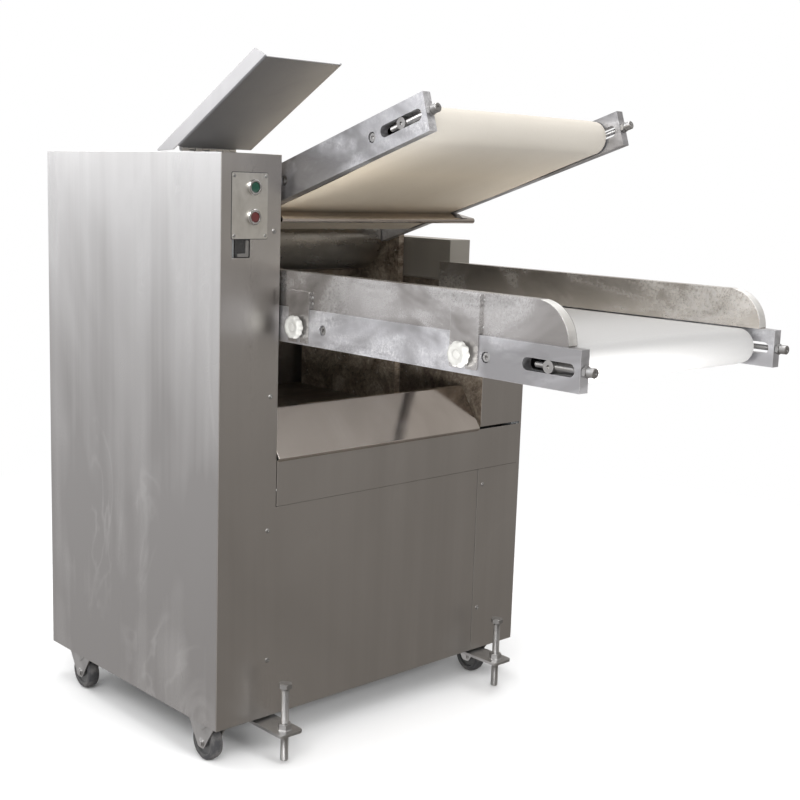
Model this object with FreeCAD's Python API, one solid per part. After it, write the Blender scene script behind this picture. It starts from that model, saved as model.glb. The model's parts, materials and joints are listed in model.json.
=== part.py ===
import FreeCAD, Part
import os
from math import acos, atan2, cos, pi, radians, sin, sqrt, tan

"""A free-standing dough sheeter for a bakery.

A steel cabinet on four casters holds two driven press rollers side by side. A belt conveyor
that slopes down into the machine feeds dough to the nip from above, and a level belt
conveyor under the rollers carries the sheet out through the front. The gears and drive
belts are in the box on the left, under a hinged lid.

Millimetres. +X is to the right of a person who faces the front, the front faces -Y, +Z up.
Shapes are drawn about the middle of the cabinet's footprint, and save() moves them so that
the part's origin is the middle of the whole machine's footprint, on the floor.
"""

V = FreeCAD.Vector

# ---- cabinet -------------------------------------------------------------------------
HALF_WIDTH = 425.0          # cabinet body, side to side
HALF_DEPTH = 320.0          # cabinet body, front to back
BASE_Z = 80.0               # lower edge of the covers
TOP_Z = 1182.0              # top of the left gear box
SHEET = 2.0                 # stainless sheet
BAY = 288.0                 # half width of the open bay between the two side boxes
RIGHT_TOP_Z = 925.0         # top of the right box, hidden behind the conveyor
BAND_LOW_Z = 509.0          # front band of the catch tray
BAND_HIGH_Z = 604.0
BAND_RIGHT = 417.0
COVER_SEAM_X = 285.0        # right edge of the front cover
FRAME_Z = 100.0             # underside of the welded base frame
TUBE = 40.0                 # square tube of the base frame
POST = 28.0                 # corner posts
FLOOR_PAN_Z = 620.0         # floor of the bay
BEAM_FRONT = -257.0         # front of the cross beams, behind the catch tray
MOTOR_BED_Z = 222.0         # underside of the motor's bed plate
CABLE_HOLE = (-340.0, 190.0)    # (x, z) of the mains cable's hole in the back
CABLE_HOLE_R = 10.2
SCREW_HEAD = (5.0, 2.2)     # radius and height of the cover screws
RIVET_HEAD = (3.0, 1.4)
COVER_SCREWS = ((-306, 727), (-308, 463), (-304, 198), (-304, 1041), (302, 471), (302, 180))
RIVETS = ((410, 599), (400, 561), (395, 523))

# ---- casters and jack bolts -----------------------------------------------------------
WHEEL_R = 37.5
WHEEL_W = 25.0
WHEELS = {
    "front_left": (-403.0, -262.0),
    "front_right": (350.0, -262.0),
    "rear_left": (-403.0, 209.0),
    "rear_right": (350.0, 209.0),
}
JACK_X = 305.0
JACK_Y = -381.0
JACK_R = 8.0                # M16
JACK_END_Z = 11.0           # lower end, clear of the floor while it stands on its casters
JACK_TOP_Z = 170.0
JACK_PLATE_Z = 75.0         # top of the bracket plate
JACK_PLATE_HALF = 27.5
JACK_FLATS = 24.0           # across the flats of nut and head

# ---- press rollers --------------------------------------------------------------------
PLATE_IN = 272.0            # inner face of the frame plates, which reach out to BAY
PLATE_FRONT = -50.0
PLATE_BACK = 300.0
PLATE_TOP_Z = 1179.0
ROLLER_R = 75.0
ROLLER_HALF = 252.0
ROLLER_Z = 1010.0
FRONT_Y = 64.0
JOURNAL_R = 25.0
RUN = 0.05                  # radial running clearance
MODULE = 6.0
GEAR_TEETH = 26
PINION_TEETH = 16
REAR_Y = FRONT_Y + MODULE * GEAR_TEETH
GAP_TRAVEL = 8.0
COUNTER_Z = ROLLER_Z - MODULE * (GEAR_TEETH + PINION_TEETH) / 2
GEAR_X = (-335.0, -309.0)   # plane of the gears
FLAT_X = (-357.0, -343.0)   # plane of the two conveyor drive belts
MAIN_X = (-392.0, -366.0)   # plane of the main drive belt
MOTOR_Y = -40.0
MOTOR_Z = 330.0
MAIN_R = 110.0              # main belt: pulley on the front roller, and on the motor
MOTOR_R = 45.0
UPPER_PULLEY_R = 69.3       # flat belts: pulleys on the front roller, the counter shaft and both drives
COUNTER_R = 42.5
DRIVE_R = 30.0
WINDOW_HALF = 44.0          # sliding bearing blocks, front to back
WINDOW_HALF_Z = 36.0

# ---- conveyors ------------------------------------------------------------------------
BELT_HALF = 250.0
BELT = 2.5
DRUM_R = 30.0               # conveyor rollers
DRUM_HALF = 246.0
STUB_R = 10.0               # live shafts of the drive rollers
LOWER_Z = 866.5
LOWER_TAIL_Y = -981.0
LOWER_DRIVE_Y = 250.0
LOWER_OUT = 284.0           # outer face of the lower rails
LOWER_T = 20.0
LOWER_LOW_Z = 833.0
LOWER_HIGH_Z = 900.0
LOWER_REAR = -52.0
UPPER_TAIL = (-621.0, 1237.0)
UPPER_TILT = 18.0           # degrees, rising to the front
UPPER_DRIVE_Y = -100.0
UPPER_OUT = 272.0
UPPER_T = 18.0
UPPER_HALF_H = 34.0
DEAD_R = 10.4               # dead shafts of the tail rollers
SLOT_HALF = 10.5
SLOT_FRONT = 53.0           # slot ends, measured from the tail shaft
SLOT_BACK = 52.0
RAIL_END = 64.0             # tail shaft to the front end of the rail
BOLT_R = 5.0                # M10 tension bolts
RAIL_SCREW_YS = (-851.0, -443.0)
RAIL_SCREW_Z = 865.5
UPPER_SCREWS = (75.0, 330.0)    # measured along the rail from the tail shaft
SOCKET_R = 8.0              # socket screws in the rails
SINK_R = 9.5                # and their counterbores
KNOB_R = 22.0
KNOB_YS = (-803.0, -375.0)
KNOB_Z = 866.0
KNOB_LOBES = 10
GUARD_TOP_Z = 968.0
GUARD_X = (258.0, 280.0)
GUARD_FRONT_Y = -948.0      # where the top turns down into the rounded front end
GUARD_REAR_Y = -200.0

# ---- gear box lid -----------------------------------------------------------------------
LID_HINGE = (-180.0, 1188.0)
LID_OPEN = 150.4            # degrees from closed
LID_X = (-427.2, -257.0)
LID_LENGTH = 309.0
LID_FLANGE = 29.0

# ---- control plate ------------------------------------------------------------------------
PANEL_X = (-402.0, -321.0)
PANEL_Z = (1027.0, 1147.0)
BUTTON_X = -353.6
BUTTON_ZS = {"start": 1121.0, "stop": 1067.0}
CAP_R = 11.0
BEZEL_R = 15.0
SWITCH_T = 1.5              # switch plate
POCKET_X = (-400.0, -359.0)     # cut-out below the switch plate
POCKET_Z = 992.0

# ---- gap handwheel ------------------------------------------------------------------------
SCREW_Z = 1105.0
HANDWHEEL_R = 55.0
HANDWHEEL_Y = 340.0

# Middle of the machine's length: the tension bolt heads in front, the handwheel behind.
REAR_END = 348.0
FRONT_END = LOWER_TAIL_Y - RAIL_END - 21.0
ORIGIN_Y = -(FRONT_END + REAR_END) / 2


# ---- small tools --------------------------------------------------------------------------
def box(x, y, z):
    """A block between the two ends given for each axis."""
    low = V(min(x), min(y), min(z))
    size = V(max(x), max(y), max(z)) - low
    return Part.makeBox(size.x, size.y, size.z, low)


def rod_x(x, y, z, r):
    return Part.makeCylinder(r, max(x) - min(x), V(min(x), y, z), V(1, 0, 0))


def rod_y(x, y, z, r):
    return Part.makeCylinder(r, max(y) - min(y), V(x, min(y), z), V(0, 1, 0))


def rod_z(x, y, z, r):
    return Part.makeCylinder(r, max(z) - min(z), V(x, y, min(z)), V(0, 0, 1))


def prism_x(points, x):
    """A (y, z) outline pushed along X."""
    wire = Part.makePolygon([V(min(x), y, z) for y, z in points + points[:1]])
    return Part.Face(wire).extrude(V(max(x) - min(x), 0, 0))


def prism_y(points, y):
    """An (x, z) outline pushed along Y."""
    wire = Part.makePolygon([V(px, min(y), pz) for px, pz in points + points[:1]])
    return Part.Face(wire).extrude(V(0, max(y) - min(y), 0))


def hexagon(centre, direction, flats, height):
    """A hexagonal nut or bolt head."""
    radius = flats / sqrt(3)
    points = [V(radius * cos(k * pi / 3), radius * sin(k * pi / 3), 0) for k in range(7)]
    solid = Part.Face(Part.makePolygon(points)).extrude(V(0, 0, height))
    solid.Placement = FreeCAD.Placement(centre, FreeCAD.Rotation(V(0, 0, 1), direction))
    return solid


def fuse(shapes):
    whole = shapes[0]
    for shape in shapes[1:]:
        whole = whole.fuse(shape)
    return whole.removeSplitter()


def cut(shape, tools):
    for tool in tools:
        shape = shape.cut(tool)
    return shape


def mirrored(shape):
    return shape.mirror(V(0, 0, 0), V(1, 0, 0))


def pair(shape):
    """The shape and its mirror image across the middle of the machine."""
    return [shape, mirrored(shape)]


def sheet_run(points, x, thickness=SHEET):
    """Folded sheet: a strip along each leg of a (y, z) path, to the left of the path."""
    legs = []
    for (y0, z0), (y1, z1) in zip(points, points[1:]):
        length = sqrt((y1 - y0) ** 2 + (z1 - z0) ** 2)
        ny = -(z1 - z0) / length * thickness
        nz = (y1 - y0) / length * thickness
        legs.append(prism_x([(y0, z0), (y1, z1), (y1 + ny, z1 + nz), (y0 + ny, z0 + nz)], x))
    for y, z in points[1:-1]:
        legs.append(rod_x(x, y, z, thickness))
    return fuse(legs)


def loop_face(first, second, x):
    """The outline of a belt round two pulleys, each (y, z, radius)."""
    y0, z0, r0 = first
    y1, z1, r1 = second
    away = atan2(z1 - z0, y1 - y0)
    lean = acos((r0 - r1) / sqrt((y1 - y0) ** 2 + (z1 - z0) ** 2))

    def point(y, z, r, angle):
        return V(x, y + r * cos(angle), z + r * sin(angle))

    a = point(y0, z0, r0, away + lean)
    b = point(y1, z1, r1, away + lean)
    c = point(y1, z1, r1, away - lean)
    d = point(y0, z0, r0, away - lean)
    edges = [
        Part.makeLine(a, b),
        Part.Arc(b, point(y1, z1, r1, away), c).toShape(),
        Part.makeLine(c, d),
        Part.Arc(d, point(y0, z0, r0, away + pi), a).toShape(),
    ]
    return Part.Face(Part.Wire(edges))


def loop(first, second, x, thickness):
    """A closed band that runs on the outside of two pulleys."""
    width = V(max(x) - min(x), 0, 0)
    grown = [(y, z, r + thickness) for y, z, r in (first, second)]
    outside = loop_face(grown[0], grown[1], min(x)).extrude(width)
    return outside.cut(loop_face(first, second, min(x)).extrude(width))


def pulley(x, y, z, radius, flange=4.0, rim=3.0):
    """A flanged pulley whose running face has the given radius."""
    left, right = min(x), max(x)
    return fuse([
        rod_x((left + rim, right - rim), y, z, radius),
        rod_x((left, left + rim), y, z, radius + flange),
        rod_x((right - rim, right), y, z, radius + flange),
    ])


def gear(teeth, y, z, x, aim, bore):
    """A spur gear in the YZ plane, with the middle of one tooth at the angle aim."""
    pitch_r = MODULE * teeth / 2
    base_r = pitch_r * cos(radians(20.0))
    tip_r = pitch_r + 0.9 * MODULE
    root_r = pitch_r - 1.2 * MODULE
    slack = 0.35

    def involute(radius):
        if radius <= base_r:
            return 0.0
        roll = sqrt((radius / base_r) ** 2 - 1)
        return roll - atan2(roll, 1.0)

    half_pitch = pi / (2 * teeth) - slack / pitch_r
    flank_rs = [root_r] + [base_r + k * (tip_r - base_r) / 4 for k in range(5)]
    points = []
    for tooth in range(teeth):
        middle = aim + 2 * pi * tooth / teeth
        half = [(r, half_pitch + involute(pitch_r) - involute(r)) for r in flank_rs]
        for r, wide in half:
            points.append((y + r * cos(middle - wide), z + r * sin(middle - wide)))
        for r, wide in reversed(half):
            points.append((y + r * cos(middle + wide), z + r * sin(middle + wide)))
    return prism_x(points, x).cut(rod_x(x, y, z, bore))


def tilted(shape, pivot, degrees):
    """Turn about the X direction through a (y, z) pivot. Positive lifts the front."""
    turned = shape.copy()
    turned.rotate(V(0, pivot[0], pivot[1]), V(1, 0, 0), -degrees)
    return turned


saved = []


def save(name, shapes):
    """Write one node, moved to the part's own origin."""
    shapes = shapes if isinstance(shapes, list) else [shapes]
    solids = [solid for shape in shapes for solid in shape.Solids]
    node = solids[0] if len(solids) == 1 else Part.makeCompound(solids)
    node = node.copy()
    node.translate(V(0, ORIGIN_Y, 0))
    node.exportStep("parts/" + name + ".step")
    saved.append((name, len(solids), node.isValid()))


# ---- cabinet ------------------------------------------------------------------------------
def base_frame():
    """Welded tube: a floor ring, posts, the beams under the press and the motor's bed."""
    x, y = HALF_WIDTH - 3, HALF_DEPTH - 3
    ring_z = (FRAME_Z, FRAME_Z + TUBE)
    mid_z = (FLOOR_PAN_Z - TUBE, FLOOR_PAN_Z)
    bars = []
    for side in (-1, 1):
        bars.append(box((side * x, side * (x - TUBE)), (-y, y), ring_z))
        bars.append(box((-x, x), (side * y, side * (y - TUBE)), ring_z))
        bars.append(box((side * 262, side * (262 + TUBE)), (BEAM_FRONT + TUBE, y - TUBE), mid_z))
    bars.append(box((-x, x), (BEAM_FRONT, BEAM_FRONT + TUBE), mid_z))
    bars.append(box((-x, x), (y - TUBE, y), mid_z))
    bars.append(box((330, 370), (-y + TUBE, y - TUBE), ring_z))
    bars.append(box((-320, -280), (-y + TUBE, y - TUBE), ring_z))
    for end in (-1, 1):
        back = (end * y, end * (y - POST))
        bars.append(box((-x, -x + POST), back, (FRAME_Z + TUBE, TOP_Z - 4)))
        bars.append(box((x - POST, x), back, (FRAME_Z + TUBE, RIGHT_TOP_Z - 4)))
    for side in (-1, 1):
        post_y = (BEAM_FRONT, BEAM_FRONT + TUBE)
        bars.append(box((side * x, side * (x - POST)), post_y, (ring_z[1], mid_z[0])))
    bars.append(box((-320, 370), (-130, 60), (MOTOR_BED_Z, MOTOR_BED_Z + 8)))
    for leg_x in (-316, 336):
        for leg_y in (-126, 26):
            bars.append(box((leg_x, leg_x + 30), (leg_y, leg_y + 30), (ring_z[1], MOTOR_BED_Z)))
    return fuse(bars)


def left_side_panel():
    wall = box((-HALF_WIDTH, -HALF_WIDTH + SHEET), (-HALF_DEPTH + SHEET, HALF_DEPTH), (BASE_Z, TOP_Z))
    inside = (-HALF_WIDTH + SHEET, -BAY)
    top = (TOP_Z - SHEET, TOP_Z)
    front_strip = box(inside, (-HALF_DEPTH + SHEET, LID_HINGE[0] - 8), top)
    rear_strip = box(inside, (LID_HINGE[0] + LID_LENGTH - 15, HALF_DEPTH - SHEET), top)
    return fuse([wall, front_strip, rear_strip])


def front_cover():
    """The front sheet: full width below the tray, and up the left gear box."""
    y = (-HALF_DEPTH, -HALF_DEPTH + SHEET)
    low = box((-HALF_WIDTH, COVER_SEAM_X), y, (BASE_Z, BAND_LOW_Z - 1))
    column = box((-HALF_WIDTH, -BAY - 0.5), y, (BAND_LOW_Z - 1, TOP_Z))
    window = box((PANEL_X[0] + 8, PANEL_X[1] - 8), y, (PANEL_Z[0] + 8, PANEL_Z[1] - 8))
    pocket = box(POCKET_X, y, (POCKET_Z, PANEL_Z[0] - 1))
    bottom = box((-HALF_WIDTH + SHEET, COVER_SEAM_X), (y[1], y[1] + 14), (BASE_Z, BASE_Z + SHEET))
    bottom = cut(bottom, [box((x - 45, x + 45), y + (y[1] + 14,), (BASE_Z, BASE_Z + SHEET))
                          for x in (-403, -JACK_X, JACK_X)])
    return cut(fuse([low, column, bottom]), [window, pocket])


def right_side_panel():
    outer = box((HALF_WIDTH - SHEET, HALF_WIDTH), (-HALF_DEPTH, HALF_DEPTH), (BASE_Z, RIGHT_TOP_Z))
    y = (-HALF_DEPTH, -HALF_DEPTH + SHEET)
    low = box((COVER_SEAM_X + 1.5, HALF_WIDTH), y, (BASE_Z, BAND_LOW_Z - 1))
    beside = box((BAND_RIGHT + 1, HALF_WIDTH), y, (BAND_LOW_Z - 1, BAND_HIGH_Z + 1))
    column = box((BAY + 0.5, HALF_WIDTH), y, (BAND_HIGH_Z + 1, RIGHT_TOP_Z))
    top_z = (RIGHT_TOP_Z - SHEET, RIGHT_TOP_Z)
    top = box((BAY + 2.5, HALF_WIDTH), (-HALF_DEPTH, HALF_DEPTH - SHEET), top_z)
    return fuse([outer, low, beside, column, top])


def back_panel():
    y = (HALF_DEPTH - SHEET, HALF_DEPTH)
    inner = HALF_WIDTH - SHEET
    tall = box((-inner, BAY + 4), y, (BASE_Z, TOP_Z - SHEET - 1))
    low = box((BAY + 4, inner), y, (BASE_Z, RIGHT_TOP_Z - SHEET - 1))
    louvres = []
    for row in range(6):
        for x in (-250, 60):
            louvres.append(box((x, x + 190), y, (230 + 22 * row, 236 + 22 * row)))
    cable_hole = rod_y(CABLE_HOLE[0], y, CABLE_HOLE[1], CABLE_HOLE_R)
    return cut(fuse([tall, low]), louvres + [rod_y(0, y, SCREW_Z, 12), cable_hole])


def catch_tray():
    """Polished chute over a band that is flush with the front."""
    y = -HALF_DEPTH
    band = box((-BAY, BAND_RIGHT), (y, y + SHEET), (BAND_LOW_Z, BAND_HIGH_Z - 4))
    path = [(y + SHEET, BAND_HIGH_Z - 6), (y - 6, BAND_HIGH_Z), (-262, 690), (-250, 690)]
    chute = sheet_run(list(reversed(path)), (-BAY + 0.5, 278))
    return fuse([band, chute])


def bay_liner():
    """Floor pan of the bay and the two walls in front of the frame plates."""
    floor = box((-BAY, BAY), (-248, HALF_DEPTH - SHEET), (FLOOR_PAN_Z, FLOOR_PAN_Z + SHEET))
    wall_y = (-HALF_DEPTH + SHEET, PLATE_FRONT - 1)
    left = box((-BAY - SHEET, -BAY), wall_y, (BAND_HIGH_Z, TOP_Z - SHEET))
    right = box((BAY, BAY + SHEET), wall_y, (BAND_HIGH_Z + 1, RIGHT_TOP_Z - SHEET))
    hole = rod_x((-BAY - SHEET, -BAY), UPPER_DRIVE_Y, upper_z(UPPER_DRIVE_Y), 16)
    over_beams = box((-HALF_WIDTH, HALF_WIDTH), (BEAM_FRONT, PLATE_FRONT), (BAND_HIGH_Z, FLOOR_PAN_Z))
    return [floor, cut(left, [hole, over_beams]), right.cut(over_beams)]


def right_bearing_cover():
    """Box on the right, beside the rollers, notched round the front roller's bearing."""
    x, y, z = (BAY + 2.5, 354), (-200, HALF_DEPTH - SHEET), (RIGHT_TOP_Z, 1015)
    outer = box(x, y, z)
    inner = box((x[0] + SHEET, x[1] - SHEET), (y[0] + SHEET, y[1] - SHEET), (z[0], z[1] - SHEET))
    notch = box((x[0], 310), (FRONT_Y - 52, FRONT_Y + 52), (950, z[1]))
    return outer.cut(inner).cut(notch)


def rear_roller_hood():
    path = [(HALF_DEPTH - 4, 1140), (150, 1140), (150, 1118), (140, 1112)]
    return sheet_run(path, (-PLATE_IN + 0.5, PLATE_IN - 0.5))


def feed_plate():
    path = [(102, 1079), (76, 1088), (-48, 1092), (-58, 1090.5)]
    return sheet_run(list(reversed(path)), (-PLATE_IN + 0.5, PLATE_IN - 0.5))


def finger_guard():
    """Sheet with a rolled front edge, fixed under the feed conveyor's rails."""
    lip_y, lip_z = -290.0, 1062.0
    lip = rod_x((-265, 265), lip_y, lip_z, 6)
    slope = tan(radians(UPPER_TILT))
    bend_y = -240.0
    bend_z = upper_z(bend_y) - UPPER_HALF_H / cos(radians(UPPER_TILT)) - 3.2
    path = [(bend_y + 42, bend_z - 42 * slope), (bend_y, bend_z), (lip_y, lip_z + 3)]
    plate = sheet_run(list(reversed(path)), (-265, 265))
    return fuse([plate, lip])


def roller_scrapers():
    """A thin blade under each roller, carried on a bar between the frame plates."""
    blades = []
    reach = 36.0
    tip_z = ROLLER_Z - sqrt(ROLLER_R ** 2 - (reach - 1.5) ** 2) - 0.5
    for y, bar in ((FRONT_Y + reach, -1), (REAR_Y - reach, 1)):
        blade = box((-BELT_HALF, BELT_HALF), (y - 1.5, y + 1.5), (917, tip_z))
        back = box((-PLATE_IN, PLATE_IN), (y + bar * 1.5, y + bar * 13.5), (917, 930))
        blades.append(fuse([blade, back]))
    return blades


def pan_head(x, y, z, head=SCREW_HEAD):
    """Domed screw head on a face that looks towards -Y."""
    radius, height = head
    ball = (radius ** 2 + height ** 2) / (2 * height)
    dome = Part.makeSphere(ball, V(x, y - height + ball, z))
    return dome.common(box((x - radius, x + radius), (y - height, y), (z - radius, z + radius)))


def side_screw(y, z):
    """Domed screw head on the right side panel."""
    radius, height = SCREW_HEAD
    ball = (radius ** 2 + height ** 2) / (2 * height)
    dome = Part.makeSphere(ball, V(HALF_WIDTH + height - ball, y, z))
    x = (HALF_WIDTH, HALF_WIDTH + height)
    return dome.common(box(x, (y - radius, y + radius), (z - radius, z + radius)))


def fixing_screws():
    """Cover screws and the counterbored screws of the conveyor rails."""
    heads = [pan_head(x, -HALF_DEPTH, z) for x, z in COVER_SCREWS]
    heads += [pan_head(x, -HALF_DEPTH, z, RIVET_HEAD) for x, z in RIVETS]
    heads += [side_screw(y, z) for y in (-290, 0, 290) for z in (120, 520, 890)]
    for y in RAIL_SCREW_YS:
        heads += pair(socket_head(LOWER_OUT, y, RAIL_SCREW_Z))
    for along in UPPER_SCREWS:
        one = socket_head(UPPER_OUT, UPPER_TAIL[0] + along, UPPER_TAIL[1])
        heads += pair(tilted(one, UPPER_TAIL, UPPER_TILT))
    return heads


def socket_head(face, y, z):
    """Socket screw sunk in a counterbore in a rail whose outer face is at x = -face."""
    head = rod_x((-face + 2, -face + 9), y, z, SOCKET_R)
    socket = hexagon(V(-face + 2, y, z), V(1, 0, 0), 7, 5)
    return head.cut(socket)


def counterbore(face, y, z):
    return rod_x((-face, -face + 9), y, z, SINK_R)


# ---- press ----------------------------------------------------------------------------------
def frame_plates():
    """Two thick plates that carry everything that turns, and the tie bar behind them."""
    outline = [(PLATE_FRONT, FLOOR_PAN_Z + SHEET), (PLATE_BACK, FLOOR_PAN_Z + SHEET),
               (PLATE_BACK, PLATE_TOP_Z), (PLATE_FRONT + 60, PLATE_TOP_Z), (PLATE_FRONT, 1130)]
    plate = prism_x(outline, (-BAY, -PLATE_IN))
    reach = (-BAY, -PLATE_IN)
    window = box(reach, (REAR_Y - WINDOW_HALF, REAR_Y + WINDOW_HALF + GAP_TRAVEL + 4),
                 (ROLLER_Z - WINDOW_HALF_Z, ROLLER_Z + WINDOW_HALF_Z))
    plate = cut(plate, [
        rod_x(reach, FRONT_Y, ROLLER_Z, JOURNAL_R + 6),
        rod_x(reach, LOWER_DRIVE_Y, LOWER_Z, STUB_R + 4),
        window,
    ])
    left = plate.cut(rod_x(reach, FRONT_Y, COUNTER_Z, STUB_R + RUN))
    tie = box((-PLATE_IN, PLATE_IN), (PLATE_BACK - 14, PLATE_BACK), (SCREW_Z - 18, SCREW_Z + 18))
    tie = tie.cut(rod_y(0, (PLATE_BACK - 14, PLATE_BACK), SCREW_Z, 8 + RUN))
    return [left, mirrored(plate), tie]


def roller_bearings():
    """Flanged housings: front press roller, lower drive roller, upper drive roller."""
    rings = []
    seats = (
        (BAY, 16, FRONT_Y, ROLLER_Z, 45, JOURNAL_R),
        (BAY, 10, LOWER_DRIVE_Y, LOWER_Z, 26, STUB_R),
        (UPPER_OUT, 10, UPPER_DRIVE_Y, upper_z(UPPER_DRIVE_Y), 22, STUB_R),
    )
    for face, depth, y, z, outer, bore in seats:
        x = (-face - depth, -face)
        ring = rod_x(x, y, z, outer).cut(rod_x(x, y, z, bore + RUN))
        rings += pair(ring)
    return rings


def press_roller(y, left_end, right_end):
    barrel = rod_x((-ROLLER_HALF, ROLLER_HALF), y, ROLLER_Z, ROLLER_R)
    barrel = barrel.makeChamfer(1.5, [edge for edge in barrel.Edges if edge.Length > 6 * ROLLER_R])
    return fuse([barrel, rod_x((left_end, right_end), y, ROLLER_Z, JOURNAL_R)])


def front_roller_drive():
    """Gear and the two pulleys keyed to the front roller's left journal."""
    toothed = gear(GEAR_TEETH, FRONT_Y, ROLLER_Z, GEAR_X, 0.0, JOURNAL_R)
    upper = pulley(FLAT_X, FRONT_Y, ROLLER_Z, UPPER_PULLEY_R)
    main = pulley(MAIN_X, FRONT_Y, ROLLER_Z, MAIN_R, 8)
    recess_x = (MAIN_X[0], MAIN_X[0] + 8)
    recess = rod_x(recess_x, FRONT_Y, ROLLER_Z, 90).cut(rod_x(recess_x, FRONT_Y, ROLLER_Z, 40))
    bore = rod_x(MAIN_X + GEAR_X, FRONT_Y, ROLLER_Z, JOURNAL_R)
    return [toothed, upper.cut(bore), main.cut(recess).cut(bore)]


def rear_roller_gear():
    """Same gear, turned so that a gap faces the front roller's tooth."""
    aim = pi + pi / GEAR_TEETH
    return gear(GEAR_TEETH, REAR_Y, ROLLER_Z, GEAR_X, aim, JOURNAL_R)


def rear_bearing_blocks():
    """Sliding bearing blocks in the frame plates' windows, joined by a yoke."""
    side = fuse([
        box((-BAY, -PLATE_IN + 0.1), (REAR_Y - WINDOW_HALF, REAR_Y + WINDOW_HALF),
            (ROLLER_Z - WINDOW_HALF_Z + RUN, ROLLER_Z + WINDOW_HALF_Z - RUN)),
        box((-PLATE_IN + 0.1, -258), (REAR_Y - 30, REAR_Y + 30), (ROLLER_Z - 32, SCREW_Z + 10)),
    ])
    side = side.cut(rod_x((-BAY, -258), REAR_Y, ROLLER_Z, JOURNAL_R + RUN))
    beam = box((-258, 258), (REAR_Y - 15, REAR_Y + 20), (SCREW_Z - 10, SCREW_Z + 10))
    beam = beam.cut(rod_y(0, (REAR_Y - 15, REAR_Y + 20), SCREW_Z, 8 + RUN))
    return fuse([side, beam, mirrored(side)])


def gap_handwheel():
    """Screw that moves the yoke, with a spoked handwheel behind the back panel."""
    rim = Part.makeTorus(HANDWHEEL_R, 7, V(0, HANDWHEEL_Y, SCREW_Z), V(0, 1, 0))
    parts = [
        rod_y(0, (REAR_Y - 35, HANDWHEEL_Y + 4), SCREW_Z, 8),
        rod_y(0, (PLATE_BACK - 22, PLATE_BACK - 14.2), SCREW_Z, 13),
        rod_y(0, (PLATE_BACK + 0.2, PLATE_BACK + 8), SCREW_Z, 13),
        rod_y(0, (HANDWHEEL_Y - 10, HANDWHEEL_Y + 8), SCREW_Z, 15),
        rim,
    ]
    for k in range(3):
        angle = pi / 2 + 2 * pi * k / 3
        way = V(cos(angle), 0, sin(angle))
        parts.append(Part.makeCylinder(5, HANDWHEEL_R, V(0, HANDWHEEL_Y, SCREW_Z), way))
    return fuse(parts)


def counter_shaft():
    """Pinion that reverses the direction for the lower conveyor, with its pulley."""
    hub = rod_x((-360, -PLATE_IN), FRONT_Y, COUNTER_Z, STUB_R)
    collar = rod_x((GEAR_X[1], -BAY - 1), FRONT_Y, COUNTER_Z, 20)
    toothed = gear(PINION_TEETH, FRONT_Y, COUNTER_Z, GEAR_X, pinion_aim(), 8)
    return fuse([hub, collar, toothed, pulley(FLAT_X, FRONT_Y, COUNTER_Z, COUNTER_R)])


def pinion_aim():
    """Tooth angle of the pinion, so that it is in mesh under the front gear at rest."""
    pitch = 2 * pi / GEAR_TEETH
    off = (-pi / 2) % pitch
    return pi / 2 + pi / PINION_TEETH + off * GEAR_TEETH / PINION_TEETH


def motor_pulley():
    shaft = rod_x((MAIN_X[0] - 4, -290), MOTOR_Y, MOTOR_Z, 14)
    return fuse([shaft, pulley(MAIN_X, MOTOR_Y, MOTOR_Z, MOTOR_R, 8)])


def gear_motor():
    """Worm gear box and electric motor on the bed in the base."""
    box_x = (-330, -170)
    casing = box(box_x, (MOTOR_Y - 90, MOTOR_Y + 90), (242, 420))
    casing = casing.makeFillet(14, [edge for edge in casing.Edges if edge.Length < 170])
    bore = rod_x((box_x[0], -288), MOTOR_Y, MOTOR_Z, 14 + RUN)
    foot = box((box_x[0] + 12, box_x[1] - 4), (MOTOR_Y - 86, MOTOR_Y + 96), (230, 250))
    body = [casing, foot, rod_x((-174, -160), MOTOR_Y, MOTOR_Z, 95)]
    body.append(rod_x((-160, 90), MOTOR_Y, MOTOR_Z, 78))
    body.append(rod_x((90, 140), MOTOR_Y, MOTOR_Z, 84))
    for k in range(9):
        body.append(rod_x((-146 + 25 * k, -138 + 25 * k), MOTOR_Y, MOTOR_Z, 86))
    body.append(box((-60, 40), (MOTOR_Y - 40, MOTOR_Y + 40), (400, 440)))
    for x in (-120, 50):
        body.append(box((x, x + 30), (MOTOR_Y - 70, MOTOR_Y + 70), (230, 280)))
    return fuse(body).cut(bore)


def drive_belts():
    """Main belt from the motor, and one flat belt to each conveyor."""
    main = loop((FRONT_Y, ROLLER_Z, MAIN_R + RUN), (MOTOR_Y, MOTOR_Z, MOTOR_R + RUN),
                (MAIN_X[0] + 4, MAIN_X[1] - 4), 6)
    flat = (FLAT_X[0] + 3.5, FLAT_X[1] - 3.5)
    upper = loop((FRONT_Y, ROLLER_Z, UPPER_PULLEY_R + RUN),
                 (UPPER_DRIVE_Y, upper_z(UPPER_DRIVE_Y), DRIVE_R + RUN), flat, 3)
    lower = loop((FRONT_Y, COUNTER_Z, COUNTER_R + RUN), (LOWER_DRIVE_Y, LOWER_Z, DRIVE_R + RUN), flat, 3)
    return [main, upper, lower]


# ---- conveyors --------------------------------------------------------------------------------
def upper_z(y):
    """Height of the feed conveyor's centre line at a given y."""
    return UPPER_TAIL[1] - (y - UPPER_TAIL[0]) * tan(radians(UPPER_TILT))


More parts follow.
